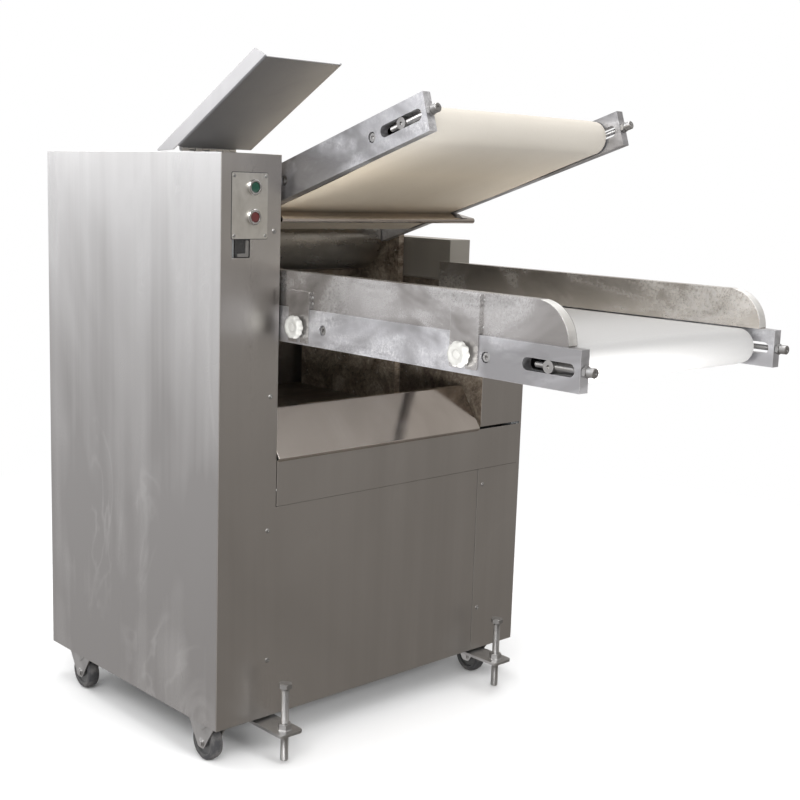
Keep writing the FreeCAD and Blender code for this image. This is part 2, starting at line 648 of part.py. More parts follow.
def slotted_bar(x, tail, back, low, high, bores):
    """A rail with the take-up slot in its front end and a bore for the tension bolt."""
    y, z = tail
    bar = box(x, (y - RAIL_END, back), (low, high))
    slot = fuse([
        box(x, (y - SLOT_FRONT + SLOT_HALF, y + SLOT_BACK - SLOT_HALF), (z - SLOT_HALF, z + SLOT_HALF)),
        rod_x(x, y - SLOT_FRONT + SLOT_HALF, z, SLOT_HALF),
        rod_x(x, y + SLOT_BACK - SLOT_HALF, z, SLOT_HALF),
    ])
    tapped = rod_y((x[0] + x[1]) / 2, (y - RAIL_END, y), z, BOLT_R + RUN)
    return cut(bar, [slot, tapped] + bores)


def lower_rails():
    """Two bars outside, and the inner bars that carry them between the frame plates."""
    outer = slotted_bar((-LOWER_OUT, -LOWER_OUT + LOWER_T), (LOWER_TAIL_Y, LOWER_Z), LOWER_REAR,
                        LOWER_LOW_Z, LOWER_HIGH_Z,
                        [counterbore(LOWER_OUT, y, RAIL_SCREW_Z) for y in RAIL_SCREW_YS]
                        + [rod_x((-LOWER_OUT, -LOWER_OUT + 17), y, KNOB_Z, BOLT_R + RUN) for y in KNOB_YS])
    inner = fuse([
        box((-264, -252), (-170, 294), (838, 898)),
        box((-PLATE_IN, -264), (-44, 20), (842, 894)),
        box((-PLATE_IN, -264), (140, 215), (842, 894)),
    ])
    inner = inner.cut(rod_x((-264, -252), LOWER_DRIVE_Y, LOWER_Z, STUB_R + 2))
    return pair(outer) + pair(inner)


def upper_rails():
    """Two bars that run back between the frame plates and are bolted to them."""
    back = UPPER_TAIL[0] + 655
    low, high = UPPER_TAIL[1] - UPPER_HALF_H, UPPER_TAIL[1] + UPPER_HALF_H
    x = (-UPPER_OUT, -UPPER_OUT + UPPER_T)
    sinks = [counterbore(UPPER_OUT, UPPER_TAIL[0] + along, UPPER_TAIL[1]) for along in UPPER_SCREWS]
    bar = slotted_bar(x, UPPER_TAIL, back, low, high, sinks)
    bar = tilted(bar, UPPER_TAIL, UPPER_TILT)
    return pair(bar.cut(rod_x(x, UPPER_DRIVE_Y, upper_z(UPPER_DRIVE_Y), STUB_R + 2)))


def bed(tail, length, half, edge, crossbars):
    """Slider plate just under the top run of a belt, on crossbars between the rails."""
    y, z = tail
    top = z + DRUM_R - 0.3
    plate = box((-half, half), (y + 46, y + length - 46), (top - 4, top))
    bars = [plate]
    for along in crossbars:
        bars.append(rod_x((-edge, edge), y + along, z, 9))
        for x in (-half + 12, half - 24):
            bars.append(box((x, x + 12), (y + along - 4, y + along + 4), (z, top - 2)))
    return fuse(bars)


def lower_bed():
    length = LOWER_DRIVE_Y - LOWER_TAIL_Y
    inner = LOWER_OUT - LOWER_T
    return bed((LOWER_TAIL_Y, LOWER_Z), length, 246, inner, (180, 500, 790))


def upper_bed():
    length = (UPPER_DRIVE_Y - UPPER_TAIL[0]) / cos(radians(UPPER_TILT))
    inner = UPPER_OUT - UPPER_T
    return tilted(bed(UPPER_TAIL, length, 246, inner, (140, 400)), UPPER_TAIL, UPPER_TILT)


def belt(tail, drive):
    first = (tail[0], tail[1], DRUM_R + RUN)
    second = (drive[0], drive[1], DRUM_R + RUN)
    return loop(first, second, (-BELT_HALF, BELT_HALF), BELT)


def drive_roller(y, z, bearing_end):
    """Driven conveyor roller, its shaft and the pulley in the gear box."""
    return fuse([
        rod_x((-DRUM_HALF, DRUM_HALF), y, z, DRUM_R),
        rod_x((-360, bearing_end), y, z, STUB_R),
        pulley(FLAT_X, y, z, DRIVE_R),
    ])


def tail_roller(tail):
    x = (-DRUM_HALF, DRUM_HALF)
    return rod_x(x, tail[0], tail[1], DRUM_R).cut(rod_x(x, tail[0], tail[1], DEAD_R + RUN))


def tail_shaft(tail, outer, thickness):
    """Dead shaft, cross drilled at each end for its tension bolt."""
    y, z = tail
    end = outer - 1
    shaft = rod_x((-end, end), y, z, DEAD_R)
    for side in (-1, 1):
        cross = side * (outer - thickness / 2)
        shaft = shaft.cut(rod_y(cross, (y - 20, y + 20), z, BOLT_R + RUN))
        shaft = shaft.cut(rod_x((side * (end - 3), side * end), y, z, 3.2))
    return shaft


def tension_bolt(side, tail, outer, thickness):
    """Stud through the rail's end and the tail shaft, with a nut and a round head."""
    y, z = tail
    x = side * (outer - thickness / 2)
    front = y - RAIL_END
    return fuse([
        rod_y(x, (front - 8, y + 31), z, BOLT_R),
        hexagon(V(x, front - 7.5, z), V(0, 1, 0), 17, 7),
        rod_y(x, (front - 21, front - 7.5), z, 8),
    ])


def guard():
    """Left side guard: a hollow sheet rail with a rounded front end and two tabs."""
    outer_x, inner_x = -GUARD_X[1], -GUARD_X[0]
    low = LOWER_HIGH_Z + 0.1
    height = GUARD_TOP_Z - low

    def outline(x, inset):
        top = GUARD_TOP_Z - inset
        round_r = height - inset
        points = [V(x, GUARD_REAR_Y, low), V(x, GUARD_REAR_Y, top), V(x, GUARD_FRONT_Y, top),
                  V(x, GUARD_FRONT_Y - round_r, low)]
        middle = V(x, GUARD_FRONT_Y - round_r * sin(pi / 4), low + round_r * cos(pi / 4))
        edges = [
            Part.makeLine(points[0], points[1]),
            Part.makeLine(points[1], points[2]),
            Part.Arc(points[2], middle, points[3]).toShape(),
            Part.makeLine(points[3], points[0]),
        ]
        return Part.Face(Part.Wire(edges))

    skin = outline(outer_x, 0).extrude(V(inner_x - outer_x, 0, 0))
    hollow = outline(outer_x + SHEET, SHEET).extrude(V(inner_x - outer_x - 2 * SHEET, 0, 0))
    parts = [skin.cut(hollow)]
    for y, half, bottom, top in ((KNOB_YS[1], 29.5, 837, 933), (KNOB_YS[0], 32, 842, 966)):
        parts.append(box((-LOWER_OUT - 2.1, -LOWER_OUT - 0.1), (y - half, y + half), (bottom, top)))
        parts.append(box((-LOWER_OUT - 0.1, outer_x), (y - half, y + half), (low + 1, top)))
    whole = fuse(parts)
    for y in KNOB_YS:
        slot = box((-LOWER_OUT - 2.1, -LOWER_OUT - 0.1), (y - 5.3, y + 5.3), (830, KNOB_Z))
        whole = whole.cut(slot).cut(rod_x((-LOWER_OUT - 2.1, -LOWER_OUT - 0.1), y, KNOB_Z, 5.3))
    return whole


def knob(y):
    """Left side star knob: lobed cap with its stud, which screws into the rail."""
    face = -LOWER_OUT - 2.3
    cap = rod_x((face - 18, face - 4), y, KNOB_Z, KNOB_R)
    dip, dip_r = KNOB_R + 2.5, 5.0
    for k in range(KNOB_LOBES):
        angle = 2 * pi * k / KNOB_LOBES
        cap = cap.cut(rod_x((face - 18, face - 4), y + dip * cos(angle), KNOB_Z + dip * sin(angle), dip_r))
    hub = rod_x((face - 4, face), y, KNOB_Z, 11)
    return fuse([cap, hub, rod_x((face, -LOWER_OUT + 16), y, KNOB_Z, BOLT_R)])


# ---- lid, controls, casters and jack bolts ------------------------------------------------------
def lid_knuckles(which):
    """Alternate knuckles of the piano hinge: 0 for the cabinet's, 1 for the lid's."""
    y, z = LID_HINGE
    start, end, count = LID_X[0] + 8, -BAY - 6, 8
    step = (end - start) / count
    spans = [(start + k * step + 0.3, start + (k + 1) * step - 0.3) for k in range(which, count, 2)]
    return [rod_x(span, y, z, 5) for span in spans]


def gear_lid():
    """Hinged lid of the gear box. Drawn closed, then swung open.

    The left flange hangs outside the side panel and runs on past the hinge, so that it ends
    level with the top of the cabinet when the lid is open.
    """
    y, z = LID_HINGE
    low = z - SHEET
    foot = low - LID_FLANGE
    back = y + LID_LENGTH
    plate = box(LID_X, (y + 5.4, back), (low, z))
    left = [(y - 12, low), (back, low), (back - 20, foot), (y - 66, foot)]
    right = [(y + 8, low), (back - 42, low), (back - 62, foot), (y + 8, foot)]
    hem = [(y + 8, foot), (back - 62, foot), (back - 64, foot + SHEET), (y + 8, foot + SHEET)]
    flanges = [
        prism_x(left, (LID_X[0], LID_X[0] + SHEET)),
        prism_x(right, (LID_X[1] - SHEET, LID_X[1])),
        prism_x(hem, (LID_X[1] - 9, LID_X[1])),
    ]
    barrels = lid_knuckles(1)
    barrels += [box((k.BoundBox.XMin, k.BoundBox.XMax), (y, y + 6), (low, z)) for k in barrels]
    whole = fuse([plate] + flanges + barrels)
    whole = whole.cut(rod_x((LID_X[0] + SHEET, LID_X[1]), y, z, 2.5 + RUN))
    whole.rotate(V(0, y, z), V(1, 0, 0), LID_OPEN)
    return whole


def lid_hinge():
    """The cabinet's half of the piano hinge, with the pin."""
    y, z = LID_HINGE
    parts = [rod_x((LID_X[0] + 8, -BAY - 6), y, z, 2.5)] + lid_knuckles(0)
    for k in lid_knuckles(0):
        x = (k.BoundBox.XMin, k.BoundBox.XMax)
        parts.append(box(x, (y - 5, y - 2), (TOP_Z + 1, z)))
    parts.append(box((LID_X[0] + 8, -BAY - 6), (y - 34, y - 3.2), (TOP_Z, TOP_Z + 1.5)))
    return fuse(parts)


def control_plate():
    """Switch plate, chrome bezels, contact blocks and the parts in the pocket below."""
    y = -HALF_DEPTH
    plate = box(PANEL_X, (y - SWITCH_T, y), PANEL_Z)
    plate = cut(plate, [rod_y(BUTTON_X, (y - SWITCH_T, y), z, CAP_R + 0.2) for z in BUTTON_ZS.values()])
    pieces = [plate]
    for z in BUTTON_ZS.values():
        ring = rod_y(BUTTON_X, (y - 8, y - SWITCH_T), z, BEZEL_R)
        ring = ring.makeChamfer(2.0, [edge for edge in ring.Edges if edge.BoundBox.YMax < y - 7])
        pieces.append(ring.cut(rod_y(BUTTON_X, (y - 8, y - SWITCH_T), z, CAP_R + 0.1)))
        pieces.append(box((BUTTON_X - 15, BUTTON_X + 15), (y + 8, y + 50), (z - 20, z + 20)))
    for x in (PANEL_X[0] + 5, PANEL_X[1] - 5):
        for z in (PANEL_Z[0] + 6, PANEL_Z[1] - 6):
            pieces.append(pan_head(x, y - SWITCH_T, z, (3.2, 1.6)))
    pieces.append(box((-392, -352), (y + 3, y + 5), (984, 1032)))
    upright = box((-370, -363), (y - 0.5, y + 3), (994, 1024))
    pieces.append(fuse([upright, box((-388, -363), (y - 0.5, y + 3), (994, 1000))]))
    return pieces


def push_button(z):
    y = -HALF_DEPTH
    cap = rod_y(BUTTON_X, (y - 10.5, y + 3), z, CAP_R)
    return cap.makeFillet(1.5, [edge for edge in cap.Edges if edge.BoundBox.YMax < y - 10])


def caster_forks():
    """Fixed casters: plate, two triangular legs and the axle bolt, four times."""
    forks = []
    for x, y in WHEELS.values():
        plate = box((x - 17, x + 17), (y - 54, y + 54), (96, FRAME_Z))
        pieces = [plate]
        for side in (-1, 1):
            leg_x = (x + side * 14, x + side * 17)
            leg = prism_x([(y - 54, 98), (y + 54, 98), (y + 9, 34), (y - 9, 34)], leg_x)
            pieces += [leg, rod_x(leg_x, y, WHEEL_R, 10)]
            pieces.append(hexagon(V(x + side * 17, y, WHEEL_R), V(side, 0, 0), 13, 3))
        pieces.append(rod_x((x - 17, x + 17), y, WHEEL_R, 5))
        forks.append(fuse(pieces))
    return forks


def caster_wheel(x, y):
    """Tyre with rounded shoulders on a hub that is bored for the axle bolt."""
    half = WHEEL_W / 2
    tyre = rod_x((x - half, x + half), y, WHEEL_R, WHEEL_R)
    tyre = tyre.makeFillet(5, [edge for edge in tyre.Edges if edge.Length > 6 * WHEEL_R])
    for side in (-1, 1):
        face = (x + side * half, x + side * (half - 4))
        tyre = tyre.cut(rod_x(face, y, WHEEL_R, 26).cut(rod_x(face, y, WHEEL_R, 10)))
    return tyre.cut(rod_x((x - half, x + half), y, WHEEL_R, 5 + RUN))


def jack_brackets():
    """Plate under the front edge with a nut, for each jack bolt."""
    both = []
    for x in (-JACK_X, JACK_X):
        z = (JACK_PLATE_Z - 6, JACK_PLATE_Z)
        plate = box((x - JACK_PLATE_HALF, x + JACK_PLATE_HALF), (-406, -290), z)
        corners = [edge for edge in plate.Edges
                   if edge.BoundBox.YMax < -400 and edge.BoundBox.ZLength > 5]
        plate = plate.makeFillet(9, corners)
        web = box((x - JACK_PLATE_HALF, x + JACK_PLATE_HALF), (-296, -290), (JACK_PLATE_Z, FRAME_Z))
        nut = hexagon(V(x, JACK_Y, JACK_PLATE_Z), V(0, 0, 1), JACK_FLATS, 13)
        hole = rod_z(x, JACK_Y, (z[0], JACK_PLATE_Z + 13), JACK_R + RUN)
        both.append(fuse([plate, web, nut]).cut(hole))
    return both


def jack_bolt(x):
    shank = rod_z(x, JACK_Y, (JACK_END_Z, JACK_TOP_Z - 10), JACK_R)
    shank = shank.makeChamfer(1.5, [edge for edge in shank.Edges if edge.BoundBox.ZMax < JACK_END_Z + 1])
    return fuse([shank, hexagon(V(x, JACK_Y, JACK_TOP_Z - 10), V(0, 0, 1), JACK_FLATS, 10)])


def main():
    os.makedirs("parts", exist_ok=True)
    lower_tail = (LOWER_TAIL_Y, LOWER_Z)
    upper_drive = (UPPER_DRIVE_Y, upper_z(UPPER_DRIVE_Y))

    for piece in (base_frame, left_side_panel, front_cover, right_side_panel, back_panel, catch_tray,
                  bay_liner, right_bearing_cover, rear_roller_hood, feed_plate, finger_guard,
                  roller_scrapers, fixing_screws, frame_plates, roller_bearings, front_roller_drive,
                  rear_roller_gear, rear_bearing_blocks, gap_handwheel, counter_shaft, motor_pulley,
                  gear_motor, drive_belts, lower_rails, upper_rails, lower_bed, upper_bed, gear_lid,
                  lid_hinge, control_plate, caster_forks, jack_brackets):
        save(piece.__name__, piece())

    save("front_press_roller", press_roller(FRONT_Y, MAIN_X[0] - 6, BAY + 17))
    save("rear_press_roller", press_roller(REAR_Y, GEAR_X[0] - 4, BAY))
    save("lower_belt", belt(lower_tail, (LOWER_DRIVE_Y, LOWER_Z)))
    save("upper_belt", belt(UPPER_TAIL, upper_drive))
    save("lower_drive_roller", drive_roller(LOWER_DRIVE_Y, LOWER_Z, BAY + 10))
    save("upper_drive_roller", drive_roller(upper_drive[0], upper_drive[1], UPPER_OUT + 10))
    save("lower_tail_roller", tail_roller(lower_tail))
    save("upper_tail_roller", tail_roller(UPPER_TAIL))
    save("lower_tail_shaft", tail_shaft(lower_tail, LOWER_OUT, LOWER_T))
    save("upper_tail_shaft", tilted(tail_shaft(UPPER_TAIL, UPPER_OUT, UPPER_T), UPPER_TAIL, UPPER_TILT))
    for side, name in ((-1, "left"), (1, "right")):
        save("lower_" + name + "_tension_bolt", tension_bolt(side, lower_tail, LOWER_OUT, LOWER_T))
        bolt = tension_bolt(side, UPPER_TAIL, UPPER_OUT, UPPER_T)
        save("upper_" + name + "_tension_bolt", tilted(bolt, UPPER_TAIL, UPPER_TILT))
        save(name + "_jack_bolt", jack_bolt(side * JACK_X))
        flip = mirrored if side > 0 else (lambda shape: shape)
        save(name + "_guard", flip(guard()))
        save(name + "_front_knob", flip(knob(KNOB_YS[0])))
        save(name + "_rear_knob", flip(knob(KNOB_YS[1])))
    for name, z in BUTTON_ZS.items():
        save(name + "_button", push_button(z))
    for name, (x, y) in WHEELS.items():
        save(name + "_wheel", caster_wheel(x, y))

    for name, count, valid in saved:
        print(name, count, "solid" if count == 1 else "solids", "" if valid else "NOT VALID")
    print(len(saved), "nodes, origin shift", ORIGIN_Y)


main()
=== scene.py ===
import bmesh
import bpy
import json
from math import cos, exp, pi, radians, sin, sqrt, tan
from mathutils import Matrix, Vector
from mathutils.geometry import tessellate_polygon


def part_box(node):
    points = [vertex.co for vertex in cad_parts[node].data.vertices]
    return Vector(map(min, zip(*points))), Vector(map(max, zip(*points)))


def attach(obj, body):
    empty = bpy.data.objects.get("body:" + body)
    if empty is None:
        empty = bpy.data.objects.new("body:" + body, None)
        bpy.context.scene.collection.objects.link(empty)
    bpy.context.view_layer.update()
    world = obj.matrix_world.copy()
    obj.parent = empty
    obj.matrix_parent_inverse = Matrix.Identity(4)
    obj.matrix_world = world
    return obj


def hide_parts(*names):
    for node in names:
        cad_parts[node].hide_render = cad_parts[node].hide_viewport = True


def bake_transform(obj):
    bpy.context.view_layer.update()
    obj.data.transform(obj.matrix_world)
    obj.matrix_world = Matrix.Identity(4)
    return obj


# The looks of the dough sheeter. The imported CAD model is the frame; the pieces that show most are
# built here in mesh code in the same places, and the rest keep their CAD mesh with rounded edges.
# Metres, in the frame of the CAD model. +X right, -Y front, +Z up.

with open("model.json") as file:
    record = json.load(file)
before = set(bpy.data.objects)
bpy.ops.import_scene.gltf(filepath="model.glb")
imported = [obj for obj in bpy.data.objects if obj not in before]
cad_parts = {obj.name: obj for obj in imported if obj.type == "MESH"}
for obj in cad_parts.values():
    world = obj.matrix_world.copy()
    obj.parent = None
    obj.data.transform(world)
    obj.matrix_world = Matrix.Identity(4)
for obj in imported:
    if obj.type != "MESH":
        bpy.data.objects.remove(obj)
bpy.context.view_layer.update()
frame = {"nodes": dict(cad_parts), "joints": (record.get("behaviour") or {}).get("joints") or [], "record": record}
nodes = frame["nodes"]

MM = 0.001
X, Y, Z = (1, 0, 0), (0, 1, 0), (0, 0, 1)
FORWARD = (0, -1, 0)
FEED_SLOPE = radians(18)
CAP_GAP = 1.5 * MM  # the dark ring between a button's cap and its bezel


# ---- node trees ----
finishes = {}


class Tree:
    """A node tree, with short calls for the nodes used here."""

    def __init__(self, tree):
        self.tree = tree
        self.place = self.node("TexCoord").outputs["Object"]

    def node(self, kind, **settings):
        made = self.tree.nodes.new("ShaderNode" + kind)
        for key, value in settings.items():
            setattr(made, key, value)
        return made

    def feed(self, socket, value):
        if isinstance(value, bpy.types.NodeSocket):
            self.tree.links.new(value, socket)
        elif isinstance(value, tuple) and socket.type == "RGBA":
            socket.default_value = value + (1.0,)
        else:
            socket.default_value = value

    def result(self, made, output, *first, **named):
        """Feeds a node's first inputs and its named ones, and gives back one of its outputs."""
        for number, value in enumerate(first):
            self.feed(made.inputs[number], value)
        for key, value in named.items():
            self.feed(made.inputs[key.replace("_", " ")], value)
        return made.outputs[output]

    def noise(self, scale, stretch=(1, 1, 1), detail=4.0, rough=0.55, warp=0.0):
        place = self.result(self.node("Mapping"), "Vector", Vector=self.place, Scale=stretch)
        return self.result(self.node("TexNoise"), "Fac", Vector=place, Scale=scale, Detail=detail,
                           Roughness=rough, Distortion=warp)

    def remap(self, value, low, high, new_low=0.0, new_high=1.0):
        return self.result(self.node("MapRange"), "Result", Value=value, From_Min=low, From_Max=high,
                           To_Min=new_low, To_Max=new_high)

    def spread(self, noise, low, high):
        """The range that a noise mostly keeps to, spread from low to high."""
        return self.remap(noise, 0.3, 0.7, low, high)

    def mix(self, amount, first, second, blend="MIX"):
        made = self.node("Mix", data_type="RGBA", blend_type=blend)
        for number, value in ((0, amount), (6, first), (7, second)):
            self.feed(made.inputs[number], value)
        return made.outputs[2]

    def mixed_shader(self, amount, first, second):
        return self.result(self.node("MixShader"), 0, amount, first, second)

    def math(self, operation, first, second=0.0):
        return self.result(self.node("Math", operation=operation), 0, first, second)

    def plus(self, first, second):
        return self.math("ADD", first, second)

    def times(self, first, second):
        return self.math("MULTIPLY", first, second)

    def dot(self, first, second):
        return self.result(self.node("VectorMath", operation="DOT_PRODUCT"), "Value", first, second)

    def axis(self, name):
        return self.result(self.node("SeparateXYZ"), name, self.place)

    def bump(self, height, strength, distance=MM, below=None):
        under = {} if below is None else {"Normal": below}
        return self.result(self.node("Bump"), "Normal", Strength=strength, Distance=distance,
                           Height=height, **under)

    def edge(self, radius, low=0.02, high=0.12):
        """1 near convex and concave edges, 0 on flat faces."""
        softened_normal = self.result(self.node("Bevel", samples=6), "Normal", Radius=radius)
        aligned = self.dot(softened_normal, self.node("NewGeometry").outputs["Normal"])
        return self.remap(self.math("SUBTRACT", 1.0, aligned), low, high)


class Finish(Tree):
    """A material, kept under its name in finishes once it is finished."""

    def __init__(self, name, metallic=0.0):
        self.name = name
        self.material = bpy.data.materials.new(name)
        self.material.use_nodes = True
        super().__init__(self.material.node_tree)
        self.surface = self.tree.nodes["Principled BSDF"]
        self.surface.inputs["Metallic"].default_value = metallic

    def finish(self, colour, roughness, normal=None, **inputs):
        if normal is not None:
            self.feed(self.surface.inputs["Normal"], normal)
        self.result(self.surface, 0, Base_Color=colour, Roughness=roughness, **inputs)
        finishes[self.name] = self.material


def mm(*values):
    """Millimetres to metres, inside tuples too. Functions pass as they are."""
    return [v if callable(v) else tuple(mm(*v)) if isinstance(v, tuple) else v * MM for v in values]


def toned(colour, share):
    """A colour made lighter or darker."""
    return tuple(min(1.0, share * c) for c in colour)


def brushed(name, light, dark, grain=(30, 30, 1.0), rough=(0.22, 0.38), mottle=3.0, wave=0.6, edge_wear_and_highlight=0.5,
            wiped=0.0, painted_light_by_height=0.0, metallic=1.0):
    """Sheet metal: fine grain along one axis, soft smears along it, wiping marks, slight oil-canning. It can take
    painted light, lighter towards the top and darker towards the bottom, and its edges are lightened as wear and
    as a painted highlight.
    """
    t = Finish(name, metallic)
    smear = t.noise(1.0, tuple(0.25 * g for g in grain), detail=4, rough=0.55, warp=0.8)
    cloud = t.noise(mottle, (1, 1, 0.6), detail=3, rough=0.5, warp=0.6)
    fine = t.noise(40, tuple(12 * g for g in grain), detail=2)
    both = t.plus(t.times(smear, 0.45), t.times(cloud, 0.55))
    amount = t.remap(both, 0.38, 0.62)
    # Painted light: lighter towards the top and darker towards the bottom, as the light falls on the panel.
    if painted_light_by_height:
        amount = t.plus(amount, t.remap(t.axis("Z"), 0.45, 1.1, -painted_light_by_height, painted_light_by_height))
    colour = t.mix(t.math("MAXIMUM", t.math("MINIMUM", amount, 1.0), 0.0), dark, light)
    if wiped:
        swirl = t.noise(3.2, (1, 1, 0.7), detail=6, rough=0.5, warp=2.6)
        band = t.math("ABSOLUTE", t.math("SUBTRACT", swirl, 0.5))
        mark = t.times(t.remap(band, 0.0, 0.035, 1.0, 0.0), t.remap(cloud, 0.5, 0.62))
        colour = t.mix(t.times(mark, wiped), colour, toned(light, 1.18))
    # Edges lightened: partly wear, partly a painted highlight along every edge.
    worn_and_highlit_edges = t.times(t.edge(1.2 * MM), edge_wear_and_highlight)
    colour = t.mix(worn_and_highlit_edges, colour, toned(light, 1.25))
    scratch = t.noise(9, (1, 1, 1), detail=8, rough=0.75, warp=1.5)
    level = t.plus(t.remap(both, 0.35, 0.65, rough[1], rough[0]), t.spread(fine, -0.03, 0.03))
    level = t.plus(level, t.remap(scratch, 0.55, 0.7, 0.0, 0.05))
    low = t.noise(2.2, detail=1)
    normal = t.bump(low, wave, 6 * MM)
    normal = t.bump(fine, 0.06, 0.2 * MM, normal)
    t.finish(colour, level, normal)


def floury(name, light, dark, flour=0.5, rough=(0.3, 0.45), grain=(2, 40, 40)):
    """Bars and guards in use: fine scratches, darker rubbed patches, a painted highlight on the edges, and dry
    flour in specks.
    """
    t = Finish(name, metallic=0.85)
    patch = t.noise(6, (0.5, 0.6, 1.2), detail=3, rough=0.6, warp=1.0)
    rubbed = t.noise(11, (0.5, 0.5, 1.5), detail=5, rough=0.7, warp=0.6)
    speck = t.noise(150, detail=8, rough=0.85)
    fine = t.noise(60, grain, detail=3)
    colour = t.mix(t.remap(patch, 0.40, 0.58), dark, light)
    colour = t.mix(t.remap(rubbed, 0.52, 0.68, 0.0, 0.45), colour, toned(dark, 0.6))
    # Painted highlight: edges lightened towards white.
    colour = t.mix(t.times(t.edge(1.0 * MM), 0.6), colour, (0.9, 0.9, 0.9))
    settled = t.times(t.remap(patch, 0.44, 0.60), t.remap(rubbed, 0.36, 0.52))
    dust = t.times(t.times(settled, t.remap(speck, 0.44, 0.62)), flour)
    colour = t.mix(dust, colour, (0.97, 0.97, 0.98))
    level = t.plus(t.spread(patch, rough[0], rough[1]), t.spread(fine, -0.05, 0.05))
    level = t.plus(level, t.times(dust, 0.35))
    normal = t.bump(fine, 0.15, 0.2 * MM)
    normal = t.bump(dust, 0.3, 0.3 * MM, normal)
    t.finish(colour, level, normal)


def turned(name, colour, rough=0.25, grain=(900, 1, 1), grease=0.0):
    """Machined steel: rings along the turning axis, and old grease in patches."""
    t = Finish(name, metallic=1.0)
    rings = t.noise(1.0, grain, detail=2)
    patch = t.noise(14, detail=4, rough=0.6)
    base = t.mix(t.remap(patch, 0.35, 0.65), colour, toned(colour, 0.78))
    # Painted highlight: edges lightened.
    base = t.mix(t.times(t.edge(0.8 * MM), 0.6), base, toned(colour, 1.3))
    base = t.mix(t.times(t.remap(patch, 0.5, 0.7), grease), base, (0.05, 0.035, 0.02))
    level = t.plus(t.spread(patch, rough - 0.05, rough + 0.12),
                   t.spread(rings, -0.04, 0.04))
    t.finish(base, level, t.bump(rings, 0.12, 0.1 * MM))


def painted(name, colour, rough=0.4, pit=0.25, chip=0.5, under=(0.32, 0.3, 0.28)):
    """Paint with orange peel, dust in patches and bare metal at the edges."""
    t = Finish(name)
    peel = t.noise(220, detail=2)
    patch = t.noise(9, detail=5, rough=0.65)
    chips = t.times(t.edge(1.5 * MM), t.remap(t.noise(120, detail=4), 0.5, 0.56))
    base = t.mix(t.remap(patch, 0.35, 0.65), colour, toned(colour, 0.72))
    base = t.mix(t.times(chips, chip), base, under)
    base = t.mix(t.remap(patch, 0.55, 0.75, 0.0, 0.35), base, (0.45, 0.4, 0.34))
    t.finish(base, t.spread(patch, rough - 0.08, rough + 0.15), t.bump(peel, pit, 0.15 * MM))


def rubber(name, colour, rough=0.6, dust=0.4):
    t = Finish(name)
    patch = t.noise(35, detail=6, rough=0.7)
    fine = t.noise(700, detail=2)
    base = t.mix(t.times(t.remap(patch, 0.45, 0.7), dust), colour, (0.30, 0.28, 0.26))
    # Painted highlight: edges lightened.
    base = t.mix(t.times(t.edge(1.5 * MM), 0.35), base, (0.22, 0.21, 0.20))
    t.finish(base, t.spread(patch, rough - 0.1, rough + 0.15), t.bump(fine, 0.2, 0.1 * MM))


def woven(name, light, dark, stain, far, thread=1.4 * MM):
    """Conveyor belt: a plain weave under a thin coat, soft stains, and another tone at the front end, greyer and
    darker there; the darkening is painted shade.
    """
    t = Finish(name)
    scale = 2 * pi / thread
    warp = t.math("SINE", t.times(t.axis("X"), scale))
    weft = t.math("SINE", t.times(t.axis("Y"), scale))
    weave = t.times(warp, weft)
    cloud = t.noise(4, (1, 0.4, 1), detail=4, rough=0.55)
    streak = t.noise(3, (6, 0.5, 1), detail=3, rough=0.5)
    speck = t.noise(240, detail=4, rough=0.7)
    colour = t.mix(t.remap(cloud, 0.35, 0.68), light, dark)
    colour = t.mix(t.remap(streak, 0.52, 0.68, 0.0, 0.35), colour, dark)
    # The front end: a greyer tone, and darker as painted shade against the light that falls there.
    colour = t.mix(t.remap(t.axis("Y"), -0.12, -0.36), colour, far)
    colour = t.mix(t.remap(speck, 0.62, 0.72, 0.0, 0.25), colour, stain)
    colour = t.mix(t.times(t.edge(1.5 * MM), 0.3), colour, stain)
    normal = t.bump(weave, 0.16, 0.12 * MM)
    normal = t.bump(cloud, 0.3, 2 * MM, normal)
    t.finish(colour, t.spread(speck, 0.55, 0.75), normal, Sheen_Weight=0.1)


def plastic(name, colour, rough=0.3, fleck=0.15, coat=0.0):
    t = Finish(name)
    patch = t.noise(60, detail=4)
    fine = t.noise(500, detail=2)
    base = t.mix(t.remap(patch, 0.4, 0.65), colour, toned(colour, 1 - fleck))
    t.finish(base, t.spread(patch, rough, rough + 0.12), t.bump(fine, 0.08, 0.1 * MM),
             Coat_Weight=coat)


def dirty_sheet(name, level):
    """Walls of the bay: bare sheet under old dough, flour and grease. level scales the brightness; a level below 1
    is painted shade.
    """
    t = Finish(name)
    crust = t.noise(7, (1, 1.6, 1.6), detail=8, rough=0.72, warp=0.8)
    flake = t.noise(45, (1, 2.5, 2.5), detail=8, rough=0.8, warp=0.6)
    both = t.plus(t.times(crust, 0.6), t.times(flake, 0.4))
    colour = t.mix(t.remap(both, 0.40, 0.52), (0.10, 0.07, 0.05), (0.42, 0.34, 0.26))
    colour = t.mix(t.remap(both, 0.52, 0.62), colour, (0.78, 0.71, 0.61))
    colour = t.mix(t.remap(t.noise(120, detail=3), 0.66, 0.70, 0.0, 0.7), colour, (0.80, 0.78, 0.74))
    # Brightness scaled by level: painted shade where level is below 1.
    colour = t.mix(1.0, colour, (level, level, level), blend="MULTIPLY")
    t.finish(colour, t.spread(both, 0.3, 0.7), t.bump(flake, 0.5, 1.2 * MM))


